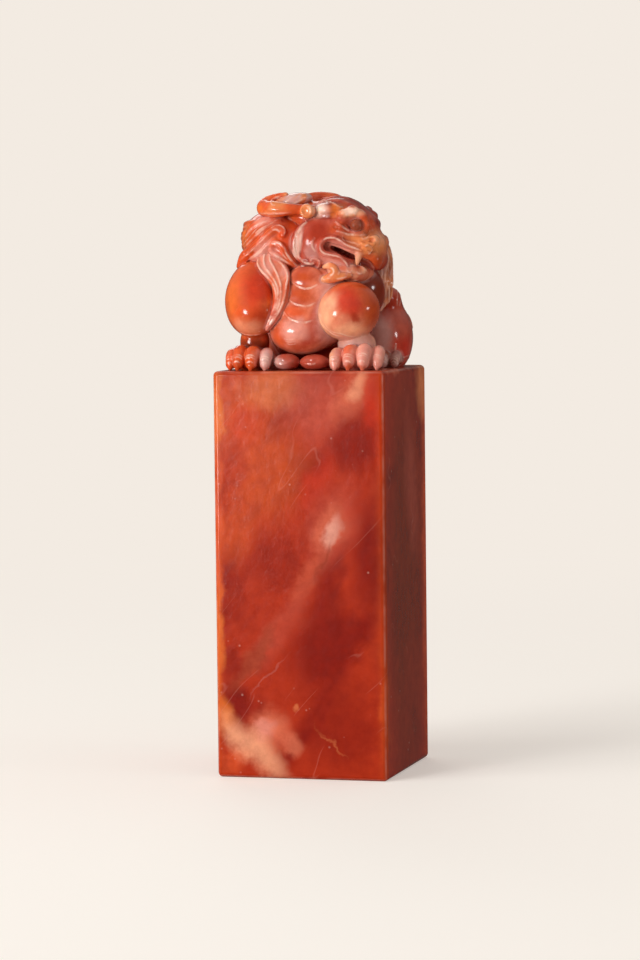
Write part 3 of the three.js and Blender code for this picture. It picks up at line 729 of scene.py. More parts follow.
def right_mane_skin():
    clay = Clay((-15, -10.5, 13.5), (2.4, 6.6, 27.9))
    clay.masses((-6.8, -0.6, 21.2, 6.9, 6.5, 5.8, 0, 0, 30, 0), (-4.6, -4.8, 20.6, 4.4, 3.4, 4.4, 2.5))
    base = deepcopy(clay)

    def lock(drawing, radius, shares, lift, plane, blend=0.25, view="photo"):
        clay.lay(drawing, radius, shares, blend, base, view=view, lift=lift, plane=plane)

    lock(
        (-5.4, 25.6, -7.4, 25.3, -9.6, 24.6, -11.1, 23.3, -11.6, 22.3), 1.1, (0.5, 1, 1.1, 1, 0.5),
        -0.5, -4, 0.5,
    )
    lock(
        (-5.6, 25, -7.2, 24.3, -9.2, 23.2, -10.8, 21.7, -11.2, 20.8), 1, (0.5, 0.9, 1.1, 1, 0.6),
        -0.4, -5, 0.4,
    )
    fringe = base.drape(
        (-4.7, 22.9, -4.5, 23.5, -5.2, 24, -6.2, 23.8, -7.4, 22.8, -8.9, 21.3, -10.3, 20.2),
        lift=0.1, plane=-6.5,
    )
    tips = ((-11.3, -6, 19.7), (-12.2, -5.5, 18.7), (-12.9, -5, 17.7))
    clay.add(Strand(np.concatenate((fringe, tips)), 0.92, (0.6, 0.8, 0.9, 1, 1.05, 1.1, 1, 0.6)), 0.25)
    lock((-11, 18, -9.4, 19, -8, 20.2, -6.8, 21.5, -6, 22.2), 0.78, (0.5, 1, 1.05, 0.9, 0.6), -0.1, -7)
    lock(
        (-6.2, 21.2, -5.4, 21.6, -4.6, 21.2, -4, 20.4, -3.4, 19.3, -2.7, 18.4, -1.8, 17.6, -0.3, 17, 1, 16.8),
        0.66, (0.7, 1, 1, 1, 1, 0.9, 0.8, 0.6), 0.15, -8,
    )
    lock((-6.4, 20.2, -5.6, 19.6, -4.8, 19.2, -3.8, 18.5, -2.6, 17.7), 0.6, (0.8, 1, 1, 0.8, 0.5), 0.1, -8)
    side_locks, back_locks = [], []
    for k in range(5):
        z = 25.2 - 1.75 * k
        side_locks.append((
            -4 + 0.5 * k, z, -1.6 + 0.4 * k, z - 0.6, 0.8 + 0.3 * k, z - 1.9, 2.6 + 0.2 * k, z - 3.8,
            3.6 + 0.2 * k, z - 5.6,
        ))
        lock(side_locks[-1], 0.95, (0.5, 0.9, 1.05, 1, 0.5), -0.5, 0, view="right")
    for k in range(3):
        x, z = -6.8 - 1.9 * k, 25.6 - 0.7 * k
        back_locks.append((x, z, x - 1.2, z - 2, x - 1.1, z - 4.4, x - 0.2, z - 6.6, x + 0.7, z - 8.6))
        lock(back_locks[-1], 1, (0.5, 0.9, 1.05, 0.9, 0.5), -0.4, 0, view="back")

    skin = Skin(clay)
    for drawing in back_locks:
        comb(skin, drawing, 1, view="back")
    for plane, mark, *drawing in (
        (-4, 0.6, -9.2, 25.3, -10.6, 24.5, -11.7, 23.5), (-6, 0.9, -7, 24.9, -8.6, 24.1, -9.8, 23.2),
        (-5, 0.7, -8.6, 25, -9.8, 24, -11.3, 22.4, -12.4, 21.2),
        (-6.5, 0.9, -5.4, 25.7, -6.7, 25, -8.1, 24, -9.8, 22.6, -11.6, 20.9),
        (-4, 0.6, -7.4, 25.6, -9.6, 24.9, -11.4, 23.6, -12.8, 21.9),
        (-6, 0.7, -12.4, 18.8, -10.8, 20, -9.3, 21.4, -7.9, 22.8, -6.7, 23.8),
        (-6, 0.9, -12.6, 17.6, -11, 18.8, -9.6, 19.8, -8.3, 20.9),
        (-7.5, 0.9, -6.6, 24.1, -5.7, 24.6, -4.8, 24.6, -4.1, 24.1, -4, 23.4, -4.5, 22.7),
        (-7.5, 0.9, -6.4, 23.8, -5.5, 23.9, -5, 23.5, -5, 23.1),
        (-8, 1, -6.4, 21.4, -5.9, 21.9, -4.9, 21.7, -4.1, 20.9, -3.6, 19.8, -2.9, 18.8, -2, 17.9, -0.6, 17.2),
        (-8, 0.7, -5.9, 21.2, -5.2, 21.2, -4.6, 20.5, -4.1, 19.5, -3.4, 18.7),
        (-8, 1, -6, 19.9, -5.4, 19.4, -4.7, 19, -3.7, 18.4, -2.4, 17.6),
        (-7, 0.8, -10.6, 18.7, -8.9, 19.8, -7.4, 21.2, -6.5, 22.1),
    ):
        skin.line(drawing, 0.13, 0.26, mark, plane=plane)
    skin.line(
        (-5.6, 24.6, -6.8, 23.9, -8.1, 22.8, -9.6, 21.5, -11, 20.3, -12.4, 19.3), -0.2, 0.3, 0.6, plane=-6,
    )
    for drawing in side_locks:
        for shift, height, mark in ((-0.35, 0.14, 0.6), (0, -0.12, 0.5), (0.35, 0.14, 0.6)):
            skin.line(drawn(*drawing) + (shift * 0.7, shift), height, 0.26, mark, view="right")
    return skin


def left_mane_skin():
    clay = Clay((4.2, -3.6, 7.8), (15, 8.4, 27))
    locks = (
        (1.5, 10, 1, 21.6, 11.4, 0.2, 18.4, 10.9, -0.2, 15.4, 11.5, 0.2, 13, 10.5, 0.4, 10.2),
        (1.35, 8.6, 2.8, 23.4, 10.7, 2.6, 19.8, 10.9, 2.8, 16.4, 11.2, 2.2, 13.8, 11, 2.6, 11.4),
        (1.45, 7, 4.6, 24.4, 9.6, 5, 20.6, 10, 5.4, 17, 10.4, 4.6, 14.4, 10.6, 5.4, 12.4),
    )
    for radius, *path in locks:
        clay.add(Strand(path, radius, (0.7, 1, 1.05, 0.95, 0.4)), 0.25)
    skin = Skin(clay)
    for radius, *path in locks:
        for shift, height, mark in (
            (-0.75, 0.14, 0.7), (-0.35, -0.16, 0.6), (0.05, 0.14, 0.7), (0.45, -0.16, 0.6), (0.85, 0.14, 0.6),
        ):
            drawing = along_side(path, (1, 2), (0.8, 1, 1, 0.8, 0.2), shift * radius)
            skin.line(drawing, height, 0.28, mark, view="left")
    for x in (11, 11.6, 12.2, 12.8):
        skin.line(
            (x + 0.2, 18, x + 0.3, 16, x - 0.2, 13.6, x - 0.3, 11, x - 0.4, 9.4), 0.14, 0.28, 0.5, plane=-1,
        )
    return skin


# Each lock of the nape: how far to the side it hangs, its sway and how low its tip is
NAPE_TOP = 27.4
NAPE_LOCKS = (
    (-8.4, 0.5, 15.6), (-5.2, -0.6, 14.4), (-1.9, 0.6, 15), (1.9, -0.6, 14.6), (5.2, 0.6, 15.2),
    (8.2, -0.5, 16),
)
NAPE_TUFTS = ((-6.8, -0.6, 21), (-3.5, 0.6, 19.6), (0.2, -0.6, 20.6), (3.7, 0.6, 19.4), (7, -0.6, 21.2))
TRUNK = (Egg((0, 3.2, 9.6), (10.4, 9.4, 11.4)), Egg((0.6, -0.8, 13.4), (11.4, 7.2, 7.6)))


def nape_drawing(x, sway, low):
    """A wavy lock with a curled tip, as seen from the back."""
    share = np.linspace(0, 1, 6)
    fan = 0.4 + 0.6 * np.minimum(1, 1.6 * share)
    run = np.stack((x * fan + sway * np.sin(2 * pi * share), NAPE_TOP + (low - NAPE_TOP) * share), axis=1)
    curl = drawn(0.6, -0.8, 1.6, -0.8, 2.1, 0, 1.6, 0.7, 0.9, 0.5) * (copysign(1, x), 1)
    return np.concatenate((run, run[-1] + curl))


def nape_skin():
    low, high = (-11.7, -5.7, 12.3), (12, 13.8, 29.7)
    clay, base = Clay(low, high), Clay(low, high, step=COARSE_STEP)
    for block in (clay, base):
        block.masses((1.6, 2.4, 20.6, 9.6, 6.8, 7.2, 0), (-0.6, -0.8, 25.9, 5.6, 4.8, 3, 1.5))
    for back in TRUNK:
        base.add(back)
    # Room for the far half of the face
    clay.cut(Egg((9.6, -0.6, 20.6), (6.2, 4.4, 6.4)), 0.8)
    locks = [(lock, 0.1, 1.4) for lock in NAPE_LOCKS] + [(tuft, 0.75, 1.2) for tuft in NAPE_TUFTS]
    for lock, lift, radius in locks:
        path = base.drape(nape_drawing(*lock), view="back", lift=lift)
        clay.add(Strand(path, radius, (0.6, 1, 1.1, 1.1, 1.05, 0.95, 0.7, 0.5, 0.45, 0.4), smooth=False), 0.2)
    skin = Skin(clay)
    for lock, _, radius in locks:
        comb(skin, nape_drawing(*lock)[:-2], radius, view="back")
    for k in range(6):
        x = -7 + 1.5 * k
        skin.line((x, -2.6, x + 0.6, 0, x + 0.4, 2.6), 0.12, 0.4, 0.4, view="top")
    return skin


# Chest and belly

CHEST_PLANE = -10.0
CHEST_HEIGHTS = (6.8, 8, 11, 14, 16, 18, 19.5, 22)
CHEST_DEPTHS = (-11.3, -11.5, -11.2, -10.7, -9.9, -8.8, -8.1, -6.9)
CHEST_LINES = (
    (-8.1, 19.1, -8.2, 18.2, -7.6, 17, -6.5, 15.9, -5.6, 14.8, -5.1, 13.5, -5.1, 11.9, -5.4, 10.6, -5.9, 9.3,
     -6.5, 8.2, -6.9, 7.2),
    (-6.2, 20.6, -6.9, 19.8, -7.1, 18.9, -6.9, 17.7, -6, 16.4, -5.2, 15.2, -4.7, 13.9, -4.8, 11.6, -5.3, 10,
     -6.1, 8.5, -6.8, 7.2),
    (-6, 20, -6, 18.8, -5.4, 17.6, -4.7, 16.2, -4.2, 14.7, -4.1, 13.1, -4.4, 11.4, -5.1, 9.7, -5.9, 8.2,
     -6.7, 7.1),
    (-4.6, 18.6, -3.8, 17.9, -3.1, 16.8, -2.9, 15.8, -3.2, 14.4, -3.4, 12.9, -3.9, 11.2, -4.6, 9.8, -5.6, 8.3,
     -6.8, 6.8),
)


def chest_skin():
    clay = Clay((-8.1, -13.2, 1.2), (8.1, -1.2, 20.1))
    clay.masses(
        (-1.1, -7.2, 6.6, 5.8, 4.8, 4.1, 0), (0.4, -5.9, 12.4, 5.6, 4.2, 6.2, 2.2),
        (3.4, -5.4, 11, 3.8, 4.2, 6.6, 1.5),
        (0.1, -9, 15.6, 2.9, 0.85, 2.1, 0.3, -14, 0, 0), (-0.2, -9.5, 12.8, 3.4, 0.85, 2.3, 0.3, -14, 0, 0),
        (-0.7, -10.1, 10.1, 3.8, 0.85, 2.4, 0.3, -14, 0, 0),
    )
    skin = Skin(clay)
    skin.lines(
        (0.16, 0.24, 1, -2.6, 15.6, -2, 14.9, -1.1, 14.3, 0.1, 13.9, 1.3, 13.95, 2.6, 14.6),
        (0.16, 0.24, 1, -3.3, 12.9, -2.7, 12.1, -1.8, 11.4, -0.6, 11, 0.7, 10.85, 2.2, 11.5),
        (0.16, 0.24, 1, -3.7, 10.3, -3.2, 9.4, -2.4, 8.7, -1.2, 8.3, 0.1, 8.1, 1.8, 8.5),
        plane=-10.5, lap=0.14,
    )
    for k in range(3):
        z = 5.4 - 0.4 * k
        skin.line((-3.4 + 0.25 * k, z, -2.3, z - 0.2, -1, z - 0.05), 0.07, 0.2, 0.5, plane=-11.5)
    return skin


def chest_lock_skin():
    clay = Clay((-9.6, -13.5, 5.1), (-1.5, -5.4, 22.2))
    laid = []
    for drawing in CHEST_LINES:
        points = np.insert(drawn(*drawing), 1, CHEST_PLANE, axis=1)
        rays = camera_rays(points)
        depths = np.interp(points[:, 2], CHEST_HEIGHTS, CHEST_DEPTHS)
        laid.append(smooth_path(points + rays * ((depths - CHEST_PLANE) / rays[:, 1])[:, None], 0.3))
    share = np.linspace(0, 1, 24)
    sides = [path[np.round(share * (len(path) - 1)).astype(int)] for path in laid]
    for outer, inner in zip(sides, sides[1:]):
        for part in (0.3, 0.7):
            middle = outer * (1 - part) + inner * part + (0, 0.9, 0)
            clay.add(Strand(middle, 0.85, (0.8, 1, 1, 1, 0.8, 0.3), smooth=False), 0.3)
    for path in laid:
        clay.add(Strand(path + (0, 0.15, 0), 0.34, (0.7, 1, 1.1, 1, 0.9, 0.6), smooth=False), 0.2)
    skin = Skin(clay)
    for drawing in CHEST_LINES:
        skin.line(drawing, 0.12, 0.26, 1, plane=CHEST_PLANE, ends=0.1)
    return skin


# Legs and paws

def right_foreleg_skin():
    clay = Clay((-15.3, -13.8, 1.5), (-4.5, -1.5, 21))
    clay.masses(
        (-10, -7.6, 11.2, 4.5, 4.4, 5.2, 0), (-8.9, -9.4, 9.5, 3.4, 3.5, 3.4, 2.6),
        (-10.2, -6.3, 14.2, 3.2, 3.7, 4.3, 3.2), (-9.7, -7.1, 4.7, 2.5, 2.6, 3.1, 0.3),
    )
    skin = Skin(clay)
    skin.line((-11.6, 6.5, -10.4, 6.1, -8.9, 6, -7.6, 6.2), 0.14, 0.35, 1, plane=-10)
    return skin


def left_foreleg_skin():
    clay = Clay((1.2, -14.4, 0.9), (14.1, -2.4, 15.9))
    clay.masses(
        (7.45, -8.4, 9.95, 5.3, 4.9, 5, 0, 0, -18, 0), (6.7, -10.2, 9.3, 3.1, 3.2, 3.3, 2.2),
        (8.5, -7.5, 4.2, 3.3, 3, 2.6, 0.25),
    )
    skin = Skin(clay)
    skin.line((2.9, 8.9, 3.4, 7.7, 4.5, 6.7, 5.4, 6.1, 6.4, 5.7), 0.18, 0.3, 0.8, plane=-11)
    skin.line((4, 7.9, 4.6, 7.2, 5.6, 6.5, 7, 6.2, 8.3, 5.8, 9.7, 5.7), 0.14, 0.26, 0.6, plane=-12)
    return skin


# Each toe: its place across and along, its share of a full toe and the height of its knuckle
RIGHT_TOES = (
    (-12.9, -10.4, 0.88, 3.7), (-11.1, -12, 1, 4.3), (-8.7, -12.3, 1.05, 4.2), (-6.3, -12, 0.95, 3.8),
)
LEFT_TOES = ((6, -12, 1, 3.8), (8.45, -12.3, 1.05, 4.4), (10.9, -12, 1.08, 4.6), (13, -10.6, 0.95, 4.1))
HIND_TOES = ((13.1, 0.9, 0.8, 2.9), (11.3, 0.1, 0.85, 3.1), (9.4, 0.5, 0.8, 2.9))
TOE_FOLD = drawn(-0.95, -0.35, -0.5, 0.05, 0, 0.18, 0.5, 0.05, 0.95, -0.35)
CLAW_FOLD = drawn(-0.6, -0.2, 0, 0.12, 0.6, -0.2)


def paw_skin(toes, *pad):
    """A paw of toes around a pad, which is given by its place and its radii."""
    ends = np.array(toes)[:, :2]
    clay = Clay((*(ends.min(0) - (2.1, 2.4)), SUNK), (ends[:, 0].max() + 2.1, pad[1] + pad[4] + 0.6, 6))
    clay.masses((*pad, 0))
    for x, y, share, high in toes:
        toe = (
            x * 0.75 + pad[0] * 0.25, y + 2.8, high * 0.6, x, y + 0.5, high - 1.22 * share,
            x, y - 0.45, high * 0.44, x, y - 0.65, high * 0.27,
        )
        claw = (x, y - 0.75, high * 0.36, x, y - 1.1 * share, high * 0.2, x, y - 1.15 * share, 0.25)
        clay.add(Strand(toe, 1.2 * share, (0.9, 1.02, 0.98, 0.8)), 0.3)
        clay.add(Strand(claw, 0.6 * share, (1, 1, 0.6)), 0.06)
    skin = Skin(clay)
    for x, _, share, high in toes:
        for fold, z in ((TOE_FOLD, high * 0.6), (TOE_FOLD, high * 0.6 - 0.36), (CLAW_FOLD, high * 0.36)):
            skin.line(fold * (share, 1) + (x, z), 0.09, 0.2, 0.9, view="front")
    return skin


def pebble_skin(x, y, z, *radii):
    at, room = np.array((x, y, z)), np.array(radii) + 0.6
    clay = Clay(at - room, at + room)
    clay.add(Egg(at, radii))
    skin = Skin(clay)
    skin.lines(
        (-0.16, 0.4, 0.2, x - 1, z + 0.55, x + 0.3, z + 0.2, x + 1.3, z + 0.45),
        (0.1, 0.25, 0.5, x - 1.3, z - 0.1, x - 0.3, z - 0.4, x + 0.9, z - 0.1),
        view="front",
    )
    return skin


def haunch_skin(side):
    low, high = sorted((side * 4.2, side * 15))
    clay = Clay((low, -1.2, SUNK), (high, 13.5, 14.7))
    clay.masses(
        (side * 9.9, 6, 5.4, 4.9, 6.2, 6.9, 0, -12, -6 * side, 0),
        (side * 11.3, 5.2, 11.3, 1.8, 3.2, 2.4, 1, -24, 0, 0),
    )
    skin = Skin(clay)
    view = "left" if side > 0 else "right"
    curl = (8.8, 1.4, 10.7, 3.6, 11.2, 6.2, 10.4, 8.4, 8.9, 8.8, 8.2, 7.6, 8.9, 6.6, 9.7, 7)
    skin.line((2.6, 0.9, 1.5, 2.6, 1.3, 4.2), 0.16, 0.35, 0.8, view=view, lap=0.1)
    skin.line((3, 1.4, 5.2, 1.9, 7.4, 1.3), 0.1, 0.3, 0.6, view=view)
    skin.line(curl, 0.2, 0.42, 0.7, view=view, ends=0.1)
    comb(skin, (4, 10.4, 4.4, 12, 5.6, 13.2), 1.2, view=view)
    return skin


# Back

TAIL = (0.2, 10.8, 1.2, 0.6, 12.1, 4.6, -0.4, 12.7, 8.4, 0.2, 12.6, 12.4, 0, 11.9, 15.6, 0, 11, 18.2)
TAIL_CURLS = (
    (0.4, 12.2, 4, 2.6, 12, 5.8, 4.5, 11.2, 8.2, 4.6, 10.8, 10.4, 3.6, 11, 11.2),
    (0, 12.6, 8, 2.2, 12.4, 10.6, 4.2, 11.4, 13.4, 4, 11, 15.6, 3.1, 11.3, 15.9),
    (0, 12.2, 4.6, -2.6, 12, 6.6, -4.6, 11.2, 9, -4.6, 10.8, 11.2, -3.6, 11, 12),
    (-0.2, 12.6, 9, -2.2, 12.3, 11.6, -4, 11.4, 14.2, -3.7, 11, 16.4, -2.9, 11.3, 16.7),
)


def tail_skin():
    clay = Clay((-8.1, 7.8, SUNK), (8.1, 15, 19.5))
    clay.add(Strand(TAIL, 1.5, (1.1, 1.25, 1.3, 1.2, 0.9, 0.35)))
    for curl in TAIL_CURLS:
        clay.add(Strand(curl, 1.25, (0.8, 1.1, 1.1, 0.8, 0.45)), 0.35)
    skin = Skin(clay)
    for shift in (-0.9, -0.3, 0.3, 0.9):
        skin.line(along_side(TAIL, (0, 2), (1, 1, 1, 0.9, 0.7, 0.2), shift), 0.13, 0.28, 0.7, view="back")
    for curl in TAIL_CURLS:
        for shift in (-0.5, 0.05, 0.6):
            drawing = along_side(curl, (0, 2), (1, 1, 1, 0.7, 0.4), shift * 0.6, -shift)
            skin.line(drawing, 0.1, 0.24, 0.6, view="back")
    return skin


def trunk_skin():
    clay = Clay((-12, -8.7, SUNK), (12.9, 13.2, 22.2))
    for block in TRUNK:
        clay.add(block, 1)
    return Skin(clay)


# Materials

class Nodes:
    """A material's or a world's nodes."""

    def __init__(self, owner):
        owner.use_nodes = True
        self.tree = owner.node_tree
        self.tree.nodes.clear()

    def add(self, kind, inputs=(), **settings):
        """Adds a node with its settings and its inputs, which are links or constants."""
        node = self.tree.nodes.new("ShaderNode" + kind)
        for key, value in settings.items():
            setattr(node, key, value)
        for key, value in inputs.items() if isinstance(inputs, dict) else enumerate(inputs):
            if isinstance(value, bpy.types.NodeSocket):
                self.tree.links.new(value, node.inputs[key])
            else:
                node.inputs[key].default_value = value
        return node.outputs

    def maths(self, operation, *values):
        return self.add("Math", values, operation=operation)[0]

    def vector(self, operation, *values):
        return self.add("VectorMath", values, operation=operation)[0]

    def scaled(self, value, factor):
        return self.add("VectorMath", {0: value, "Scale": factor}, operation="SCALE")[0]

    def far_out(self, place):
        return self.add("VectorMath", (place,), operation="LENGTH")["Value"]

    def mapped(self, place, at=(0, 0, 0), turn=(0, 0, 0), size=(1, 1, 1)):
        """A place in a frame of its own, which is moved, turned and stretched."""
        return self.add(
            "Mapping",
            {"Vector": place, "Location": at, "Rotation": [radians(angle) for angle in turn], "Scale": size},
            vector_type="TEXTURE",
        )[0]

    def mixed(self, share, first, second, blend="MIX"):
        return self.add(
            "Mix", {0: share, 6: first, 7: second}, data_type="RGBA", blend_type=blend, clamp_factor=True,
        )[2]

    def ranged(self, value, low, high, start=0, end=1):
        """A smooth step from start to end while the value goes from low to high."""
        inputs = (value, low, high, start, end)
        return self.add("MapRange", inputs, clamp=True, interpolation_type="SMOOTHSTEP")[0]

    def noise(self, place, scale, detail=4, roughness=0.55, distortion=0):
        return self.add("TexNoise", {
            "Vector": place, "Scale": scale, "Detail": detail, "Roughness": roughness,
            "Distortion": distortion,
        })


def stone(
    name, tones, *stains, cloud, seed=0, base=SHAFT_TOP, warp=2.4, swirl=0.4, coat=0.5, glow=None,
    hollow=None,
):
    """Polished soapstone. Tones are its dark, middle and light colours. Each stain is its place and radii
    in squares above the base, its colour, its strength and any turn about Y and X."""
    colours = bpy.context.scene.seal_colours
    dark, middle, light = (getattr(colours, tone) for tone in tones.split())
    wear_and_highlight = colours.cream
    material = bpy.data.materials.new(name)
    nodes = Nodes(material)
    mixed, ranged = nodes.mixed, nodes.ranged
    place = nodes.vector("ADD", nodes.scaled(nodes.add("TexCoord")["Object"], 1 / SQUARE), (0, 0, -base))
    moved = nodes.vector("ADD", place, (seed, 2 * seed, -seed))
    eddy = nodes.vector("SUBTRACT", nodes.noise(moved, swirl)[1], (0.5, 0.5, 0.5))
    warped = nodes.vector("ADD", place, nodes.scaled(eddy, warp))

    # Clouds that lean to the right, as the stone's bands do
    leaning = nodes.mapped(moved, turn=(0, 30, 0), size=(0.8, 1, 1.7))
    ramp = nodes.add("ValToRGB", (nodes.noise(leaning, 1 / cloud, 3, 0.5, 0.3)[0],))
    tones = ramp[0].node.color_ramp
    tones.interpolation = "EASE"
    tones.elements[0].position = 0.34
    tones.elements[0].color = dark
    tones.elements[1].position = 0.68
    tones.elements[1].color = light
    tones.elements.new(0.5).color = middle
    colour = ramp[0]
    for x, y, z, wide, deep, high, tint, strength, *turn in stains:
        about_y, about_x = (*turn, 0, 0)[:2]
        local = nodes.mapped(warped, (x, y, z), (about_x, about_y, 0), (wide, deep, high))
        colour = mixed(ranged(nodes.far_out(local), 0.3, 1.2, strength, 0), colour, getattr(colours, tint))

    lighter = mixed(1, colour, (1.1, 1.14, 1.14, 1), "MULTIPLY")
    darker = mixed(1, colour, (0.9, 0.84, 0.84, 1), "MULTIPLY")
    colour = mixed(ranged(nodes.noise(moved, 0.4, 6, 0.65)[0], 0.32, 0.68), darker, lighter)
    # Pale flecks and hair-thin veins, only in some patches
    patch = ranged(nodes.noise(moved, 0.12, 2)[0], 0.5, 0.62)
    fleck = nodes.add("TexVoronoi", {"Vector": moved, "Scale": 0.42, "Randomness": 1})["Distance"]
    colour = mixed(nodes.maths("MULTIPLY", ranged(fleck, 0.02, 0.12, 0.25, 0), patch), colour, wear_and_highlight)
    drawn_out = nodes.mapped(moved, turn=(0, 38, 0), size=(0.8, 1, 4))
    off_vein = nodes.maths("ABSOLUTE", nodes.maths("SUBTRACT", nodes.noise(drawn_out, 0.1, 2, 0.5)[0], 0.47))
    colour = mixed(nodes.maths("MULTIPLY", ranged(off_vein, 0, 0.008, 0.14, 0), patch), colour, colours.pink)
    # A painted glow of light through the stone along the shaft's upright edges
    if glow:
        axes = nodes.add("SeparateXYZ", (place,))
        sides = [nodes.maths("SUBTRACT", HALF_SHAFT, nodes.maths("ABSOLUTE", axes[k])) for k in range(2)]
        colour = mixed(ranged(nodes.maths("MAXIMUM", *sides), 0.2, 2, 0.4, 0), colour, getattr(colours, glow))

    # The marks of the carving: hollows and cut lines painted as shade, or in mauve and the stone's hollow
    # colour; ridges and raised lines painted cream, partly as wear and partly as a painted highlight; and
    # dusty seams
    mark_noise = nodes.noise(moved, *((0.2, 2) if glow else (0.7, 4)))[0]
    uneven = ranged(mark_noise, 0.34, 0.62, 0.15, 1)
    sunk = getattr(colours, hollow) if hollow else dark
    # bend below nought darkens hollows as painted shade, or tints them mauve; bend above nought paints a
    # cream highlight on ridges; deep paints shade into cut lines; pale paints raised lines cream, as wear and
    # a painted highlight
    for key, low, high, start, end, tint in (
        ("bend", -1.6, -0.3, 0.45, 0, colours.mauve if hollow else dark), ("bend", 0.4, 2, 0, 0.3, wear_and_highlight),
        ("deep", 0, 1, 0, 0.6, sunk), ("pale", 0, 1, 0, 0.65, wear_and_highlight), ("seam", 0, 1, 0, 0.5, colours.mauve),
    ):
        mark = ranged(nodes.add("Attribute", attribute_name=key)["Fac"], low, high, start, end)
        colour = mixed(nodes.maths("MULTIPLY", mark, uneven), colour, tint)

    grain = nodes.noise(moved, 3.2, 4, 0.7)[0]
    height = nodes.maths("ADD", nodes.noise(moved, 0.55, 3)[0], nodes.maths("MULTIPLY", grain, 0.08))
    shader = nodes.add("BsdfPrincipled", {
        "Base Color": colour, "Roughness": ranged(grain, 0.3, 0.75, 0.14, 0.26), "IOR": 1.5,
        "Normal": nodes.add("Bump", {"Strength": 0.25, "Distance": 0.0002, "Height": height})[0],
        "Specular IOR Level": 0.25, "Coat Weight": coat, "Coat Roughness": 0.08,
        "Subsurface Weight": 0.12, "Subsurface Scale": 0.0012, "Subsurface Radius": (1, 0.35, 0.2),
    })
    nodes.add("OutputMaterial", (shader[0],))
    return material


# The shaft

# Stains of the front face, and painted glow along its left edge: across, height, radii, colour, strength and
# turn
FRONT_STAINS = (
    # The narrow amber band at the left edge is painted glow
    (-11, 62, 7.5, 5, 9, "rust", 0.8), (-14.8, 62, 1.4, 5, 10, "amber", 0.9),
    (-4.4, 66.4, 6.5, 5, 4.8, "tan", 0.45),
    (-9.5, 59, 3.8, 4, 4.6, "scarlet", 0.35), (3.4, 63.6, 8, 5, 8, "rose", 0.6),
    (9.6, 65.4, 3.2, 5, 6, "salmon", 0.4, 32), (10.6, 67.2, 1.6, 4, 3, "peach", 0.45, 30),
    (13.2, 61, 2.2, 5, 8, "scarlet", 0.45, -6), (9.8, 57, 5, 5, 7, "deep_red", 0.8),
    (-5.4, 52, 8, 5, 10, "rust", 0.85, 20), (-11.6, 53, 3.4, 5, 5, "red", 0.5),
    (3.2, 51, 2.6, 5, 6.5, "scarlet", 0.3, 30),
    (6, 43.4, 5.4, 5, 8.5, "rose", 0.5, 22), (5.3, 43, 3, 4, 5, "salmon", 0.4, 26),
    (5.8, 42.2, 1.4, 3, 3.2, "cream", 0.33, 26), (1.6, 34.6, 2, 4, 7.5, "salmon", 0.22, 30),
    (-14.6, 40, 1.6, 5, 20, "orange", 0.9), (-4, 37, 6, 5, 6, "deep_red", 0.5, 20),
    # The narrow orange band at the left edge is painted glow
    (-11, 42, 4, 5, 6, "rust", 0.7, 10), (12.8, 38.8, 4, 5, 11, "deep_red", 0.95),
    (-3.4, 26, 2.6, 5, 10, "rose", 0.35, 35), (4.6, 23, 7, 5, 10.5, "deep_red", 0.95, 20),
    (-8.4, 20.5, 1.6, 4, 8, "brown", 0.5, 34), (-12, 20, 2.2, 5, 3.4, "deep_red", 0.6),
    # The narrow amber band at the left edge is painted glow
    (-14.6, 24, 1.6, 5, 12, "amber", 0.7), (14.6, 13, 1.2, 5, 10, "rust", 0.8),
    (7, 9, 8, 5, 9, "deep_red", 0.6),
    (-1, 12.4, 0.7, 4, 0.7, "tan", 0.5), (5.1, 6.4, 0.25, 3, 4, "tan", 0.25, -37),
    (-5.7, 18, 0.3, 3, 6, "mauve", 0.12, 46), (4.4, 38, 0.4, 3, 4.6, "maroon", 0.35, 24),
    (-13.8, 11, 2.4, 4, 4.6, "amber", 0.7, -20), (-5.6, 8.4, 4.6, 4, 4, "salmon", 0.7, 30),
    (-6.6, 8.4, 2.4, 4, 2.4, "pink", 0.6, 30), (-8.8, 5.4, 3, 4, 9.5, "peach", 0.7, -48),
    (-11.8, 3, 3.2, 4, 2.8, "orange", 0.5, -30), (-1.6, 5.8, 2.6, 4, 2.2, "salmon", 0.6),
)
OTHER_STAINS = (
    # The right side: maroon over the whole face, partly the stone's own colour and partly painted shade, then
    # a rose stain
    (HALF_SHAFT, 0, 35, 5, 16.5, 44, "maroon", 0.95), (HALF_SHAFT, 3.8, 49, 4, 5, 15, "rose", 0.45, 0, 12),
    # A red stain, and an orange band along the right side's back edge that is painted glow
    (HALF_SHAFT, 2, 16, 4, 6, 11, "red", 0.25, 0, -14), (HALF_SHAFT, 16, 35, 8, 5, 60, "orange", 0.85),
    (HALF_SHAFT, 12.6, 66, 6, 5, 6, "tan", 0.8, 0, 20), (6, -6, 70, 16, 12, 1.5, "salmon", 0.85),
)


def shaft_stone():
    stains = [(x, -HALF_SHAFT, *rest) for x, *rest in FRONT_STAINS] + list(OTHER_STAINS)
    look = {"base": 0, "cloud": 14, "warp": 5, "swirl": 0.2, "coat": 0}
    # The rust glow is painted light along the upright edges
    return stone("shaft_stone", "deep_red red red", *stains, glow="rust", **look)


def relief_strokes(reach, stroke, groove):
    """The bars of the sealing face: a cross and one squared spiral in each quarter."""
    bars = []
    near = stroke + groove

    def bar(start, end):
        (x0, x1), (y0, y1) = sorted((start.real, end.real)), sorted((start.imag, end.imag))
        bars.append((x0 - stroke / 2, y0 - stroke / 2, x1 + stroke / 2, y1 + stroke / 2))

    bar(complex(-reach), complex(reach))
    bar(complex(0, -reach), complex(0, reach))
    for quarter in range(4):
        place = complex(near, near)
        run = reach - groove - stroke / 2 - near
        k = 0
        while run > near / 2:
            ahead = place + run * 1j ** k
            bar(place * 1j ** quarter, ahead * 1j ** quarter)
            place = ahead
            if k and k % 2 == 0:
                run -= near
            k += 1
    return bars


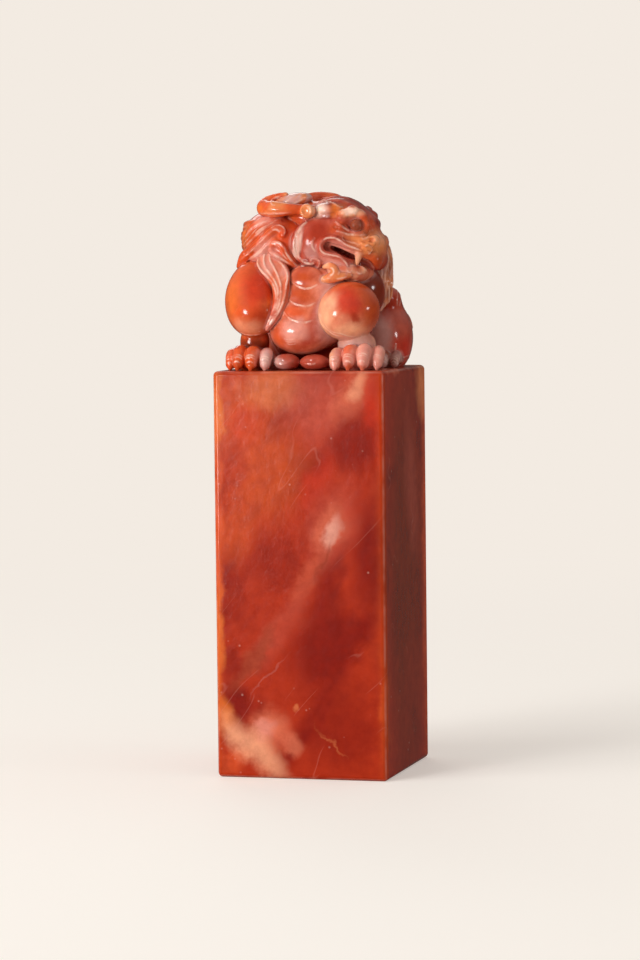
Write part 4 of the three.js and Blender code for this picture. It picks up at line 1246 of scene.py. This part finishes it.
def relief_cutter(sizes):
    """The hollows between the bars, as one closed mesh below the sealing face."""
    reach = HALF_SHAFT * SQUARE - sizes.border_width
    bars = relief_strokes(reach, sizes.stroke_width, sizes.groove_width)
    lines = []
    for low in range(2):
        values = {value for bar in bars for value in bar[low::2] if abs(value) < reach}
        values = sorted({-reach, reach} | values)
        lines.append([v for k, v in enumerate(values) if k == 0 or v - values[k - 1] > 1e-6 * SQUARE])
    xs, ys = lines
    mesh = bmesh.new()
    corners = {}

    def corner(i, j, top):
        if (i, j, top) not in corners:
            corners[i, j, top] = mesh.verts.new((xs[i], ys[j], sizes.relief_depth if top else -SQUARE))
        return corners[i, j, top]

    def hollow(i, j):
        if not (0 <= i < len(xs) - 1 and 0 <= j < len(ys) - 1):
            return False
        x, y = (xs[i] + xs[i + 1]) / 2, (ys[j] + ys[j + 1]) / 2
        return not any(x0 < x < x1 and y0 < y < y1 for x0, y0, x1, y1 in bars)

    for i in range(len(xs) - 1):
        for j in range(len(ys) - 1):
            if not hollow(i, j):
                continue
            ring = [(i, j), (i + 1, j), (i + 1, j + 1), (i, j + 1)]
            mesh.faces.new([corner(*at, True) for at in ring])
            mesh.faces.new([corner(*at, False) for at in reversed(ring)])
            for k, (di, dj) in enumerate(((0, -1), (1, 0), (0, 1), (-1, 0))):
                if not hollow(i + di, j + dj):
                    a, b = ring[k], ring[(k + 1) % 4]
                    mesh.faces.new([corner(*b, True), corner(*a, True), corner(*a, False), corner(*b, False)])
    return mesh


def shaft_piece(sizes):
    block = bmesh.new()
    bmesh.ops.create_cube(block, size=1)
    size = SHAFT_HIGH - SHAFT_LOW
    for vertex in block.verts:
        vertex.co = Vector((vertex.co.x * size.x, vertex.co.y * size.y, (vertex.co.z + 0.5) * size.z))
    edges = block.edges[:] + block.verts[:]
    bmesh.ops.bevel(block, geom=edges, offset=sizes.edge_round, segments=5, profile=0.5, affect="EDGES")
    piece = from_bmesh("shaft", block)
    cutter = from_bmesh("cutter", relief_cutter(sizes))
    boolean = piece.modifiers.new("Relief", "BOOLEAN")
    boolean.object = cutter
    boolean.operation = "DIFFERENCE"
    boolean.solver = "EXACT"
    bpy.context.view_layer.objects.active = piece
    bpy.ops.object.modifier_apply(modifier="Relief")
    bpy.data.objects.remove(cutter)
    shade_shaft(piece.data, sizes.edge_round)
    return piece


def shade_shaft(mesh, edge_round):
    """Marks a painted highlight along the rounded edges, and shades the flat faces flat."""
    half, top = HALF_SHAFT * SQUARE, SHAFT_TOP * SQUARE
    for key in ("pale", "deep", "bend", "seam"):
        mesh.attributes.new(key, "FLOAT", "POINT")
    # pale paints a highlight over the shaft's rounded edges
    for k, vertex in enumerate(mesh.vertices):
        x, y, z = vertex.co
        inset = sorted((half - abs(x), half - abs(y), z, top - z))[1]
        mesh.attributes["pale"].data[k].value = 0.3 if inset < edge_round * 0.6 else 0
    for polygon in mesh.polygons:
        polygon.use_smooth = max(abs(c) for c in polygon.normal) <= 0.9999


# Operators

class SEAL_OT_shaft(Operator):
    """Cut the square shaft, with the relief in its sealing face"""
    bl_idname = "seal.shaft"
    bl_label = "Shaft"

    def execute(self, context):
        place_piece(shaft_piece(context.scene.seal_sizes), shaft_stone(), ["seal_shaft"])
        return {"FINISHED"}


class SEAL_OT_trunk(Operator):
    """Carve the trunk, the nape and the tail"""
    bl_idname = "seal.trunk"
    bl_label = "Trunk, nape and tail"

    def execute(self, context):
        body = stone("trunk_stone", "maroon deep_red red", (0, 11, 9, 8, 6, 9, "rust", 0.7), cloud=9, seed=5)
        hair = stone("nape_stone", "deep_red rust orange", cloud=7, seed=10, hollow="deep_red")
        tail = stone("tail_stone", "orange orange tan", cloud=8, seed=9)
        carve("trunk", trunk_skin(), "red_stone", body)
        carve("nape", nape_skin(), "red_stone", hair)
        carve("tail", tail_skin(), "orange_stone", tail)
        return {"FINISHED"}


class SEAL_OT_haunches(Operator):
    """Carve both haunches"""
    bl_idname = "seal.haunches"
    bl_label = "Haunches"

    def execute(self, context):
        wine = stone(
            "wine_stone", "red rose salmon", (14, 3.5, 3, 2.2, 4, 3, "scarlet", 0.8),
            (13.8, 3, 8, 2, 4, 3.4, "rose", 0.7), (10.8, -0.5, 5.6, 2.8, 3, 6.5, "mauve", 0.7),
            cloud=8, seed=3,
        )
        carve("right_haunch", haunch_skin(-1), "wine_stone", wine)
        carve("left_haunch", haunch_skin(1), "wine_stone", wine)
        return {"FINISHED"}


class SEAL_OT_forelegs(Operator):
    """Carve both forelegs"""
    bl_idname = "seal.forelegs"
    bl_label = "Forelegs"

    def execute(self, context):
        orange = stone(
            "right_leg_stone", "orange orange amber", (-12.8, -10.5, 12, 2.6, 5, 5, "amber", 0.5),
            (-8, -10.5, 13.8, 3, 5, 5, "scarlet", 0.7), (-7.6, -12, 8.4, 2.2, 4, 3, "red", 0.7),
            (-9.6, -12, 7.2, 3.8, 4, 2.2, "peach", 0.5), (-9.3, -9.5, 3.8, 5, 8, 2.2, "maroon", 1),
            cloud=7, seed=1,
        )
        peach = stone(
            "left_leg_stone", "salmon salmon peach", (3.4, -11, 9.6, 2.6, 5, 4.4, "peach", 0.9),
            (8.6, -11, 14.2, 5.4, 6, 2.4, "orange", 1, 10), (12, -9.5, 10.8, 3.8, 6, 5.4, "rust", 1),
            (8.6, -12.6, 11.4, 2.4, 4, 3.8, "scarlet", 0.85, -25),
            (9.6, -12.6, 8.8, 0.9, 4, 1.6, "red", 0.8, -10),
            (8.4, -12.2, 6.2, 4.6, 4, 1.9, "peach", 0.6), (8.4, -9.5, 3.2, 6, 8, 3, "mauve", 1),
            cloud=7, seed=2,
        )
        carve("right_foreleg", right_foreleg_skin(), "orange_stone", orange)
        carve("left_foreleg", left_foreleg_skin(), "pale_stone", peach)
        return {"FINISHED"}


class SEAL_OT_paws(Operator):
    """Carve the four paws"""
    bl_idname = "seal.paws"
    bl_label = "Paws"

    def execute(self, context):
        orange = stone(
            "right_paw_stone", "rust orange salmon", (-6.2, -12, 2, 1.8, 4, 3.4, "mauve", 1), cloud=5, seed=4,
        )
        pale = stone(
            "left_paw_stone", "pink pink peach", (8.4, -12, 3.6, 1.5, 4, 2.4, "orange", 0.8),
            (8.4, -13, 0.8, 1.2, 4, 1, "rust", 0.9), (10.9, -13, 0.6, 1, 4, 0.9, "rust", 0.7),
            cloud=4, seed=6,
        )
        hind = stone("hind_paw_stone", "brown mauve mauve", cloud=5, seed=7)
        carve("right_forepaw", paw_skin(RIGHT_TOES, -9.4, -9.4, 1.7, 4.4, 3, 1.9), "orange_stone", orange)
        carve("left_forepaw", paw_skin(LEFT_TOES, 9.4, -9.4, 1.8, 4.4, 3, 2), "pale_stone", pale)
        for word, side in (("right", -1), ("left", 1)):
            toes = [(side * x, *rest) for x, *rest in HIND_TOES]
            carve(f"{word}_hindpaw", paw_skin(toes, side * 11.2, 2.6, 1.3, 2.9, 2.6, 1.4), "red_stone", hind)
        return {"FINISHED"}


class SEAL_OT_pebbles(Operator):
    """Carve the two polished bosses under the belly"""
    bl_idname = "seal.pebbles"
    bl_label = "Pebbles"

    def execute(self, context):
        wine = stone(
            "pebble_stone", "brown rose rose", (-4.4, -11, 1.2, 2.4, 3, 1.6, "mauve", 0.9), cloud=5, seed=8,
        )
        carve("right_pebble", pebble_skin(-3.2, -10.2, 1.4, 2.35, 2.4, 1.4), "wine_stone", wine)
        carve("left_pebble", pebble_skin(1.8, -10.2, 1.35, 2.6, 2.4, 1.35), "wine_stone", wine)
        return {"FINISHED"}


class SEAL_OT_chest(Operator):
    """Carve the banded chest and the belly"""
    bl_idname = "seal.chest"
    bl_label = "Chest and belly"

    def execute(self, context):
        chest = stone(
            "chest_stone", "rose salmon pink", (-0.4, -10, 16, 2.4, 3, 1.8, "rust", 1),
            (-0.8, -10.6, 12.9, 2.8, 3, 1.7, "rust", 0.95), (-1.8, -11.2, 9.9, 2.8, 3, 1.4, "orange", 0.95),
            (-4, -11, 5.8, 2.4, 3, 2.6, "orange", 0.9), (-1.4, -11.6, 6.6, 3.2, 3, 2.4, "pink", 0.9),
            (-0.6, -11, 4, 2.2, 3, 1.2, "red", 0.6), (4.8, -9, 9, 3, 6, 8, "mauve", 0.8),
            cloud=6, seed=11, hollow="mauve",
        )
        carve("chest_and_belly", chest_skin(), "orange_stone", chest, "chest", "belly")
        return {"FINISHED"}


class SEAL_OT_mane(Operator):
    """Carve the locks of the mane and the long locks down the chest"""
    bl_idname = "seal.mane"
    bl_label = "Mane"

    def execute(self, context):
        mane = stone(
            "mane_stone", "rust orange orange", (-12.5, -3, 22.5, 2.6, 5, 3.5, "amber", 0.6, 30),
            (-8, -7, 20.4, 3.6, 4, 1.4, "pink", 0.95, -45), (-3.2, -7.5, 22.4, 1.6, 4, 3.4, "scarlet", 0.4),
            (-5.6, -8, 19.4, 1.8, 3, 1.4, "pink", 0.95, 30), (-8, -5, 25.4, 3.4, 4, 1.2, "pink", 0.7, 10),
            (-5, -7, 24.6, 2, 3, 1, "rose", 0.5, 30), cloud=5, seed=12, hollow="pink",
        )
        hair = stone(
            "left_mane_stone", "brown tan mauve", (13, 0, 16.9, 2.2, 3, 2.6, "brown", 0.8), cloud=4, seed=13,
        )
        long_locks = stone(
            "lock_stone", "orange salmon pink", (-6.8, -10, 17.6, 1.6, 4, 2.4, "pink", 0.9),
            (-5.6, -11, 9.4, 1.4, 4, 3, "scarlet", 0.6, 20), cloud=4, seed=14, hollow="pink",
        )
        right_locks = [f"right_mane_lock_{k}" for k in (1, 2, 3)]
        carve("right_mane", right_mane_skin(), "orange_stone", mane, *right_locks, "right_jaw_lock")
        carve("left_mane", left_mane_skin(), "red_stone", hair, "left_mane_lock_1", "left_mane_lock_2")
        chest_locks = [f"chest_lock_{k}" for k in (1, 2, 3)]
        carve("chest_locks", chest_lock_skin(), "red_stone", long_locks, *chest_locks)
        return {"FINISHED"}


class SEAL_OT_head(Operator):
    """Carve the head with its brows, lips and cheeks, the lower jaw, the eyes, the ears and the beard"""
    bl_idname = "seal.head"
    bl_label = "Head"

    def execute(self, context):
        face = stone(
            "face_stone", "deep_red rose rose", (2.4, -9.5, 23.4, 2.8, 3, 2.4, "red", 0.8),
            (1, -9.5, 20, 1.6, 3, 2, "mauve", 0.5), (5.4, -9, 24.2, 1.8, 3, 1.4, "rust", 0.8),
            (7.5, -2, 29.4, 5.4, 7, 2.6, "deep_red", 1, 30), (10.8, -6, 21.2, 4.2, 6, 3, "tan", 1),
            (8, -8, 22.4, 2.4, 4, 1.2, "tan", 0.7, 10), (12, -5, 22, 1.6, 4, 1.2, "peach", 0.6),
            (11.4, -6, 18.2, 2.2, 6, 1.8, "rust", 0.8), (8.8, -7.6, 18.8, 1, 3, 1.6, "peach", 0.9),
            (2, -7.6, 27.2, 2.2, 3, 1.6, "cream", 1), (5.2, -7.6, 27.2, 1.9, 3, 1.5, "amber", 0.9),
            (8.2, -8.4, 26.6, 3, 3, 1.4, "peach", 1, 10), (8, -9, 26.9, 2, 3, 0.9, "cream", 0.85, 10),
            (10.2, -6, 24.8, 1.5, 3, 1.4, "orange", 0.9), (-1.6, -8, 21, 1, 3, 3.8, "cream", 0.6, 15),
            (6, -8.4, 20.6, 3.6, 3, 1.2, "pink", 0.7, 20), (4.4, -8.6, 18.4, 3.4, 3, 1.4, "pink", 0.7, 15),
            cloud=5, seed=15, coat=0.2,
        )
        jaw = stone("jaw_stone", "rust salmon peach", cloud=3, seed=16.5)
        eye = stone("eye_stone", "brown brown rust", cloud=3, seed=17)
        ear = stone("ear_stone", "tan tan peach", cloud=3, seed=18)
        beard = stone("beard_stone", "salmon tan peach", cloud=3, seed=19)
        paired = [
            f"{word}_{part}" for word in ("right", "left") for part in ("cheek", "brow", "lip", "cheek_rim")
        ]
        carve("head", head_skin(), "red_stone", face, "skull", "upper_jaw", "nose", "forehead", *paired)
        carve("lower_jaw", jaw_skin(), "pale_stone", jaw)
        for word, side in (("right", -1), ("left", 1)):
            carve(f"{word}_eye", eye_skin(side), "wine_stone", eye)
            carve(f"{word}_ear", ear_skin(side), "pale_stone", ear)
            carve(f"{word}_beard_curl", beard_skin(side), "pale_stone", beard)
        return {"FINISHED"}


class SEAL_OT_crown(Operator):
    """Carve the horns and the crown knob"""
    bl_idname = "seal.crown"
    bl_label = "Crown"

    def execute(self, context):
        horn = stone(
            "horn_stone", "rust orange tan", (-9, -5, 27.6, 2, 3, 1.2, "amber", 0.8),
            (-5.4, -6.5, 27.2, 2.4, 3, 0.9, "tan", 0.8), (2, 0, 29.4, 3, 3, 2, "red", 0.6), cloud=4, seed=20,
        )
        knob = stone("crown_stone", "tan mauve cream", cloud=3, seed=21)
        carve("right_horn", right_horn_skin(), "orange_stone", horn)
        carve("left_horn", left_horn_skin(), "red_stone", horn)
        carve("crown_knob", crown_skin(), "pale_stone", knob)
        return {"FINISHED"}


class SEAL_OT_seams(Operator):
    """Mark the seams where one piece meets another, which hold pale dust"""
    bl_idname = "seal.seams"
    bl_label = "Seams"

    def execute(self, context):
        for skin, piece in CARVED.values():
            nearest = np.full(len(skin.points), FAR)
            for other, _ in CARVED.values():
                low, high = other.points.min(0) - SEAM_SEARCH, other.points.max(0) + SEAM_SEARCH
                close = ((skin.points > low) & (skin.points < high)).all(1)
                if other is not skin and close.any():
                    gaps = np.abs(other.clay.sample(skin.points[close]))
                    nearest[close] = np.minimum(nearest[close], gaps)
            seam = np.clip(1 - nearest / SEAM_REACH, 0, 1)
            piece.data.attributes["seam"].data.foreach_set("value", seam.astype(np.float32))
        return {"FINISHED"}


# Stage, in metres

# Each lamp: azimuth, elevation, distance, size, power and whether the stone mirrors it
LAMPS = {
    "soft_light": (-42, 38, 1, 0.8, 3.9, False), "key_light": (-30, 2, 0.8, 0.25, 3.6, True),
    "side_light": (84, 8, 0.8, 0.12, 0.6, True), "back_light": (205, 35, 1, 0.5, 1.2, True),
}
LAMP_TARGET = Vector((0, 0, 0.06))
FLOOR_SIZE = 20
FILL_STRENGTH = 0.42
FLOOR_GLOW = 0.37


def straight_rays(nodes):
    """The light paths, and which rays are the camera's, also through clear stone."""
    path = nodes.add("LightPath")
    return path, nodes.maths("MAXIMUM", path["Is Camera Ray"], path["Is Transmission Ray"])


def studio_world():
    """A pale backdrop with a soft fill, dim near the level in what the stone mirrors."""
    world = bpy.data.worlds.new("studio")
    nodes = Nodes(world)
    path, straight = straight_rays(nodes)
    rise = nodes.add("SeparateXYZ", (nodes.add("TexCoord")["Generated"],))[2]
    strength = nodes.maths("MAXIMUM", nodes.ranged(rise, 0.05, 0.6, 0.08, 0.4), straight)
    backdrop = nodes.add("Background", (bpy.context.scene.seal_colours.backdrop, strength))
    fill = nodes.add("Background", (linear(250, 246, 242), FILL_STRENGTH))
    shown = nodes.maths("MAXIMUM", straight, path["Is Glossy Ray"])
    nodes.add("OutputWorld", (nodes.add("MixShader", (shown, fill[0], backdrop[0]))[0],))
    return world


def floor_cloth():
    """A pale floor that takes the shadow near the seal and becomes the backdrop further away.
    The polished stone mirrors it as a dim floor."""
    colours = bpy.context.scene.seal_colours
    material = bpy.data.materials.new("floor_cloth")
    nodes = Nodes(material)
    path, straight = straight_rays(nodes)
    gap = nodes.far_out(nodes.add("TexCoord")["Object"])
    far = nodes.maths("MULTIPLY", nodes.ranged(gap, 0.08, 0.4), straight)
    cloth = nodes.add("BsdfDiffuse", (linear(227, 222, 215),))
    glow = nodes.add("Emission", (colours.floor, nodes.maths("MULTIPLY", straight, FLOOR_GLOW)))
    near = nodes.add("AddShader", (cloth[0], glow[0]))
    flat = nodes.add("Emission", (colours.backdrop, nodes.maths("MAXIMUM", straight, 0.1)))
    blend = nodes.maths("MAXIMUM", far, path["Is Glossy Ray"])
    nodes.add("OutputMaterial", (nodes.add("MixShader", (blend, near[0], flat[0]))[0],))
    return material


class SEAL_OT_stage(Operator):
    """Set the camera, the lights, the floor and the backdrop"""
    bl_idname = "seal.stage"
    bl_label = "Stage"

    def execute(self, context):
        scene = context.scene
        scene.view_settings.view_transform = "Standard"
        axes = camera_axes()
        place = (Vector(CAMERA_TARGET) + CAMERA_DISTANCE * axes[2]) * SQUARE
        camera = add_object("camera", bpy.data.cameras.new("camera"))
        camera.matrix_world = Matrix.Translation(place) @ Matrix(axes).transposed().to_4x4()
        camera.data.lens = CAMERA_LENS
        camera.data.clip_start = 0.01
        scene.camera = camera
        for name, (azimuth, elevation, distance, size, power, mirrored) in LAMPS.items():
            lamp = add_object(name, bpy.data.lights.new(name, "AREA"))
            lamp.data.shape = "DISK"
            lamp.data.size = size
            lamp.data.energy = power
            way = direction(azimuth, elevation)
            lamp.location = LAMP_TARGET + way * distance
            lamp.rotation_euler = way.to_track_quat("Z", "Y").to_euler()
            lamp.visible_glossy = mirrored
        scene.world = studio_world()
        sheet = bmesh.new()
        bmesh.ops.create_grid(sheet, x_segments=1, y_segments=1, size=FLOOR_SIZE)
        floor = from_bmesh("floor", sheet)
        floor.data.materials.append(floor_cloth())
        return {"FINISHED"}


class SEAL_PT_panel(Panel):
    """The seal's colours, sizes and pieces, in the order in which they are carved"""
    bl_idname = "SEAL_PT_panel"
    bl_label = "Beast Seal"
    bl_space_type = "VIEW_3D"
    bl_region_type = "UI"
    bl_category = "Seal"

    def draw(self, context):
        for group in (context.scene.seal_sizes, context.scene.seal_colours):
            box = self.layout.box()
            for key in group.__annotations__:
                box.prop(group, key)
        for operator in OPERATORS:
            self.layout.operator(operator.bl_idname)


OPERATORS = [
    SEAL_OT_shaft, SEAL_OT_trunk, SEAL_OT_haunches, SEAL_OT_forelegs, SEAL_OT_paws, SEAL_OT_pebbles,
    SEAL_OT_chest,
    SEAL_OT_mane, SEAL_OT_head, SEAL_OT_crown, SEAL_OT_seams, SEAL_OT_stage,
]
CLASSES = [SealColours, SealSizes, *OPERATORS, SEAL_PT_panel]


def register():
    for each in CLASSES:
        bpy.utils.register_class(each)
    bpy.types.Scene.seal_colours = PointerProperty(type=SealColours)
    bpy.types.Scene.seal_sizes = PointerProperty(type=SealSizes)


def unregister():
    del bpy.types.Scene.seal_sizes
    del bpy.types.Scene.seal_colours
    for each in reversed(CLASSES):
        bpy.utils.unregister_class(each)


def main():
    register()
    for operator in OPERATORS:
        getattr(bpy.ops.seal, operator.bl_idname.split(".")[1])()


if __name__ == "__main__":
    main()
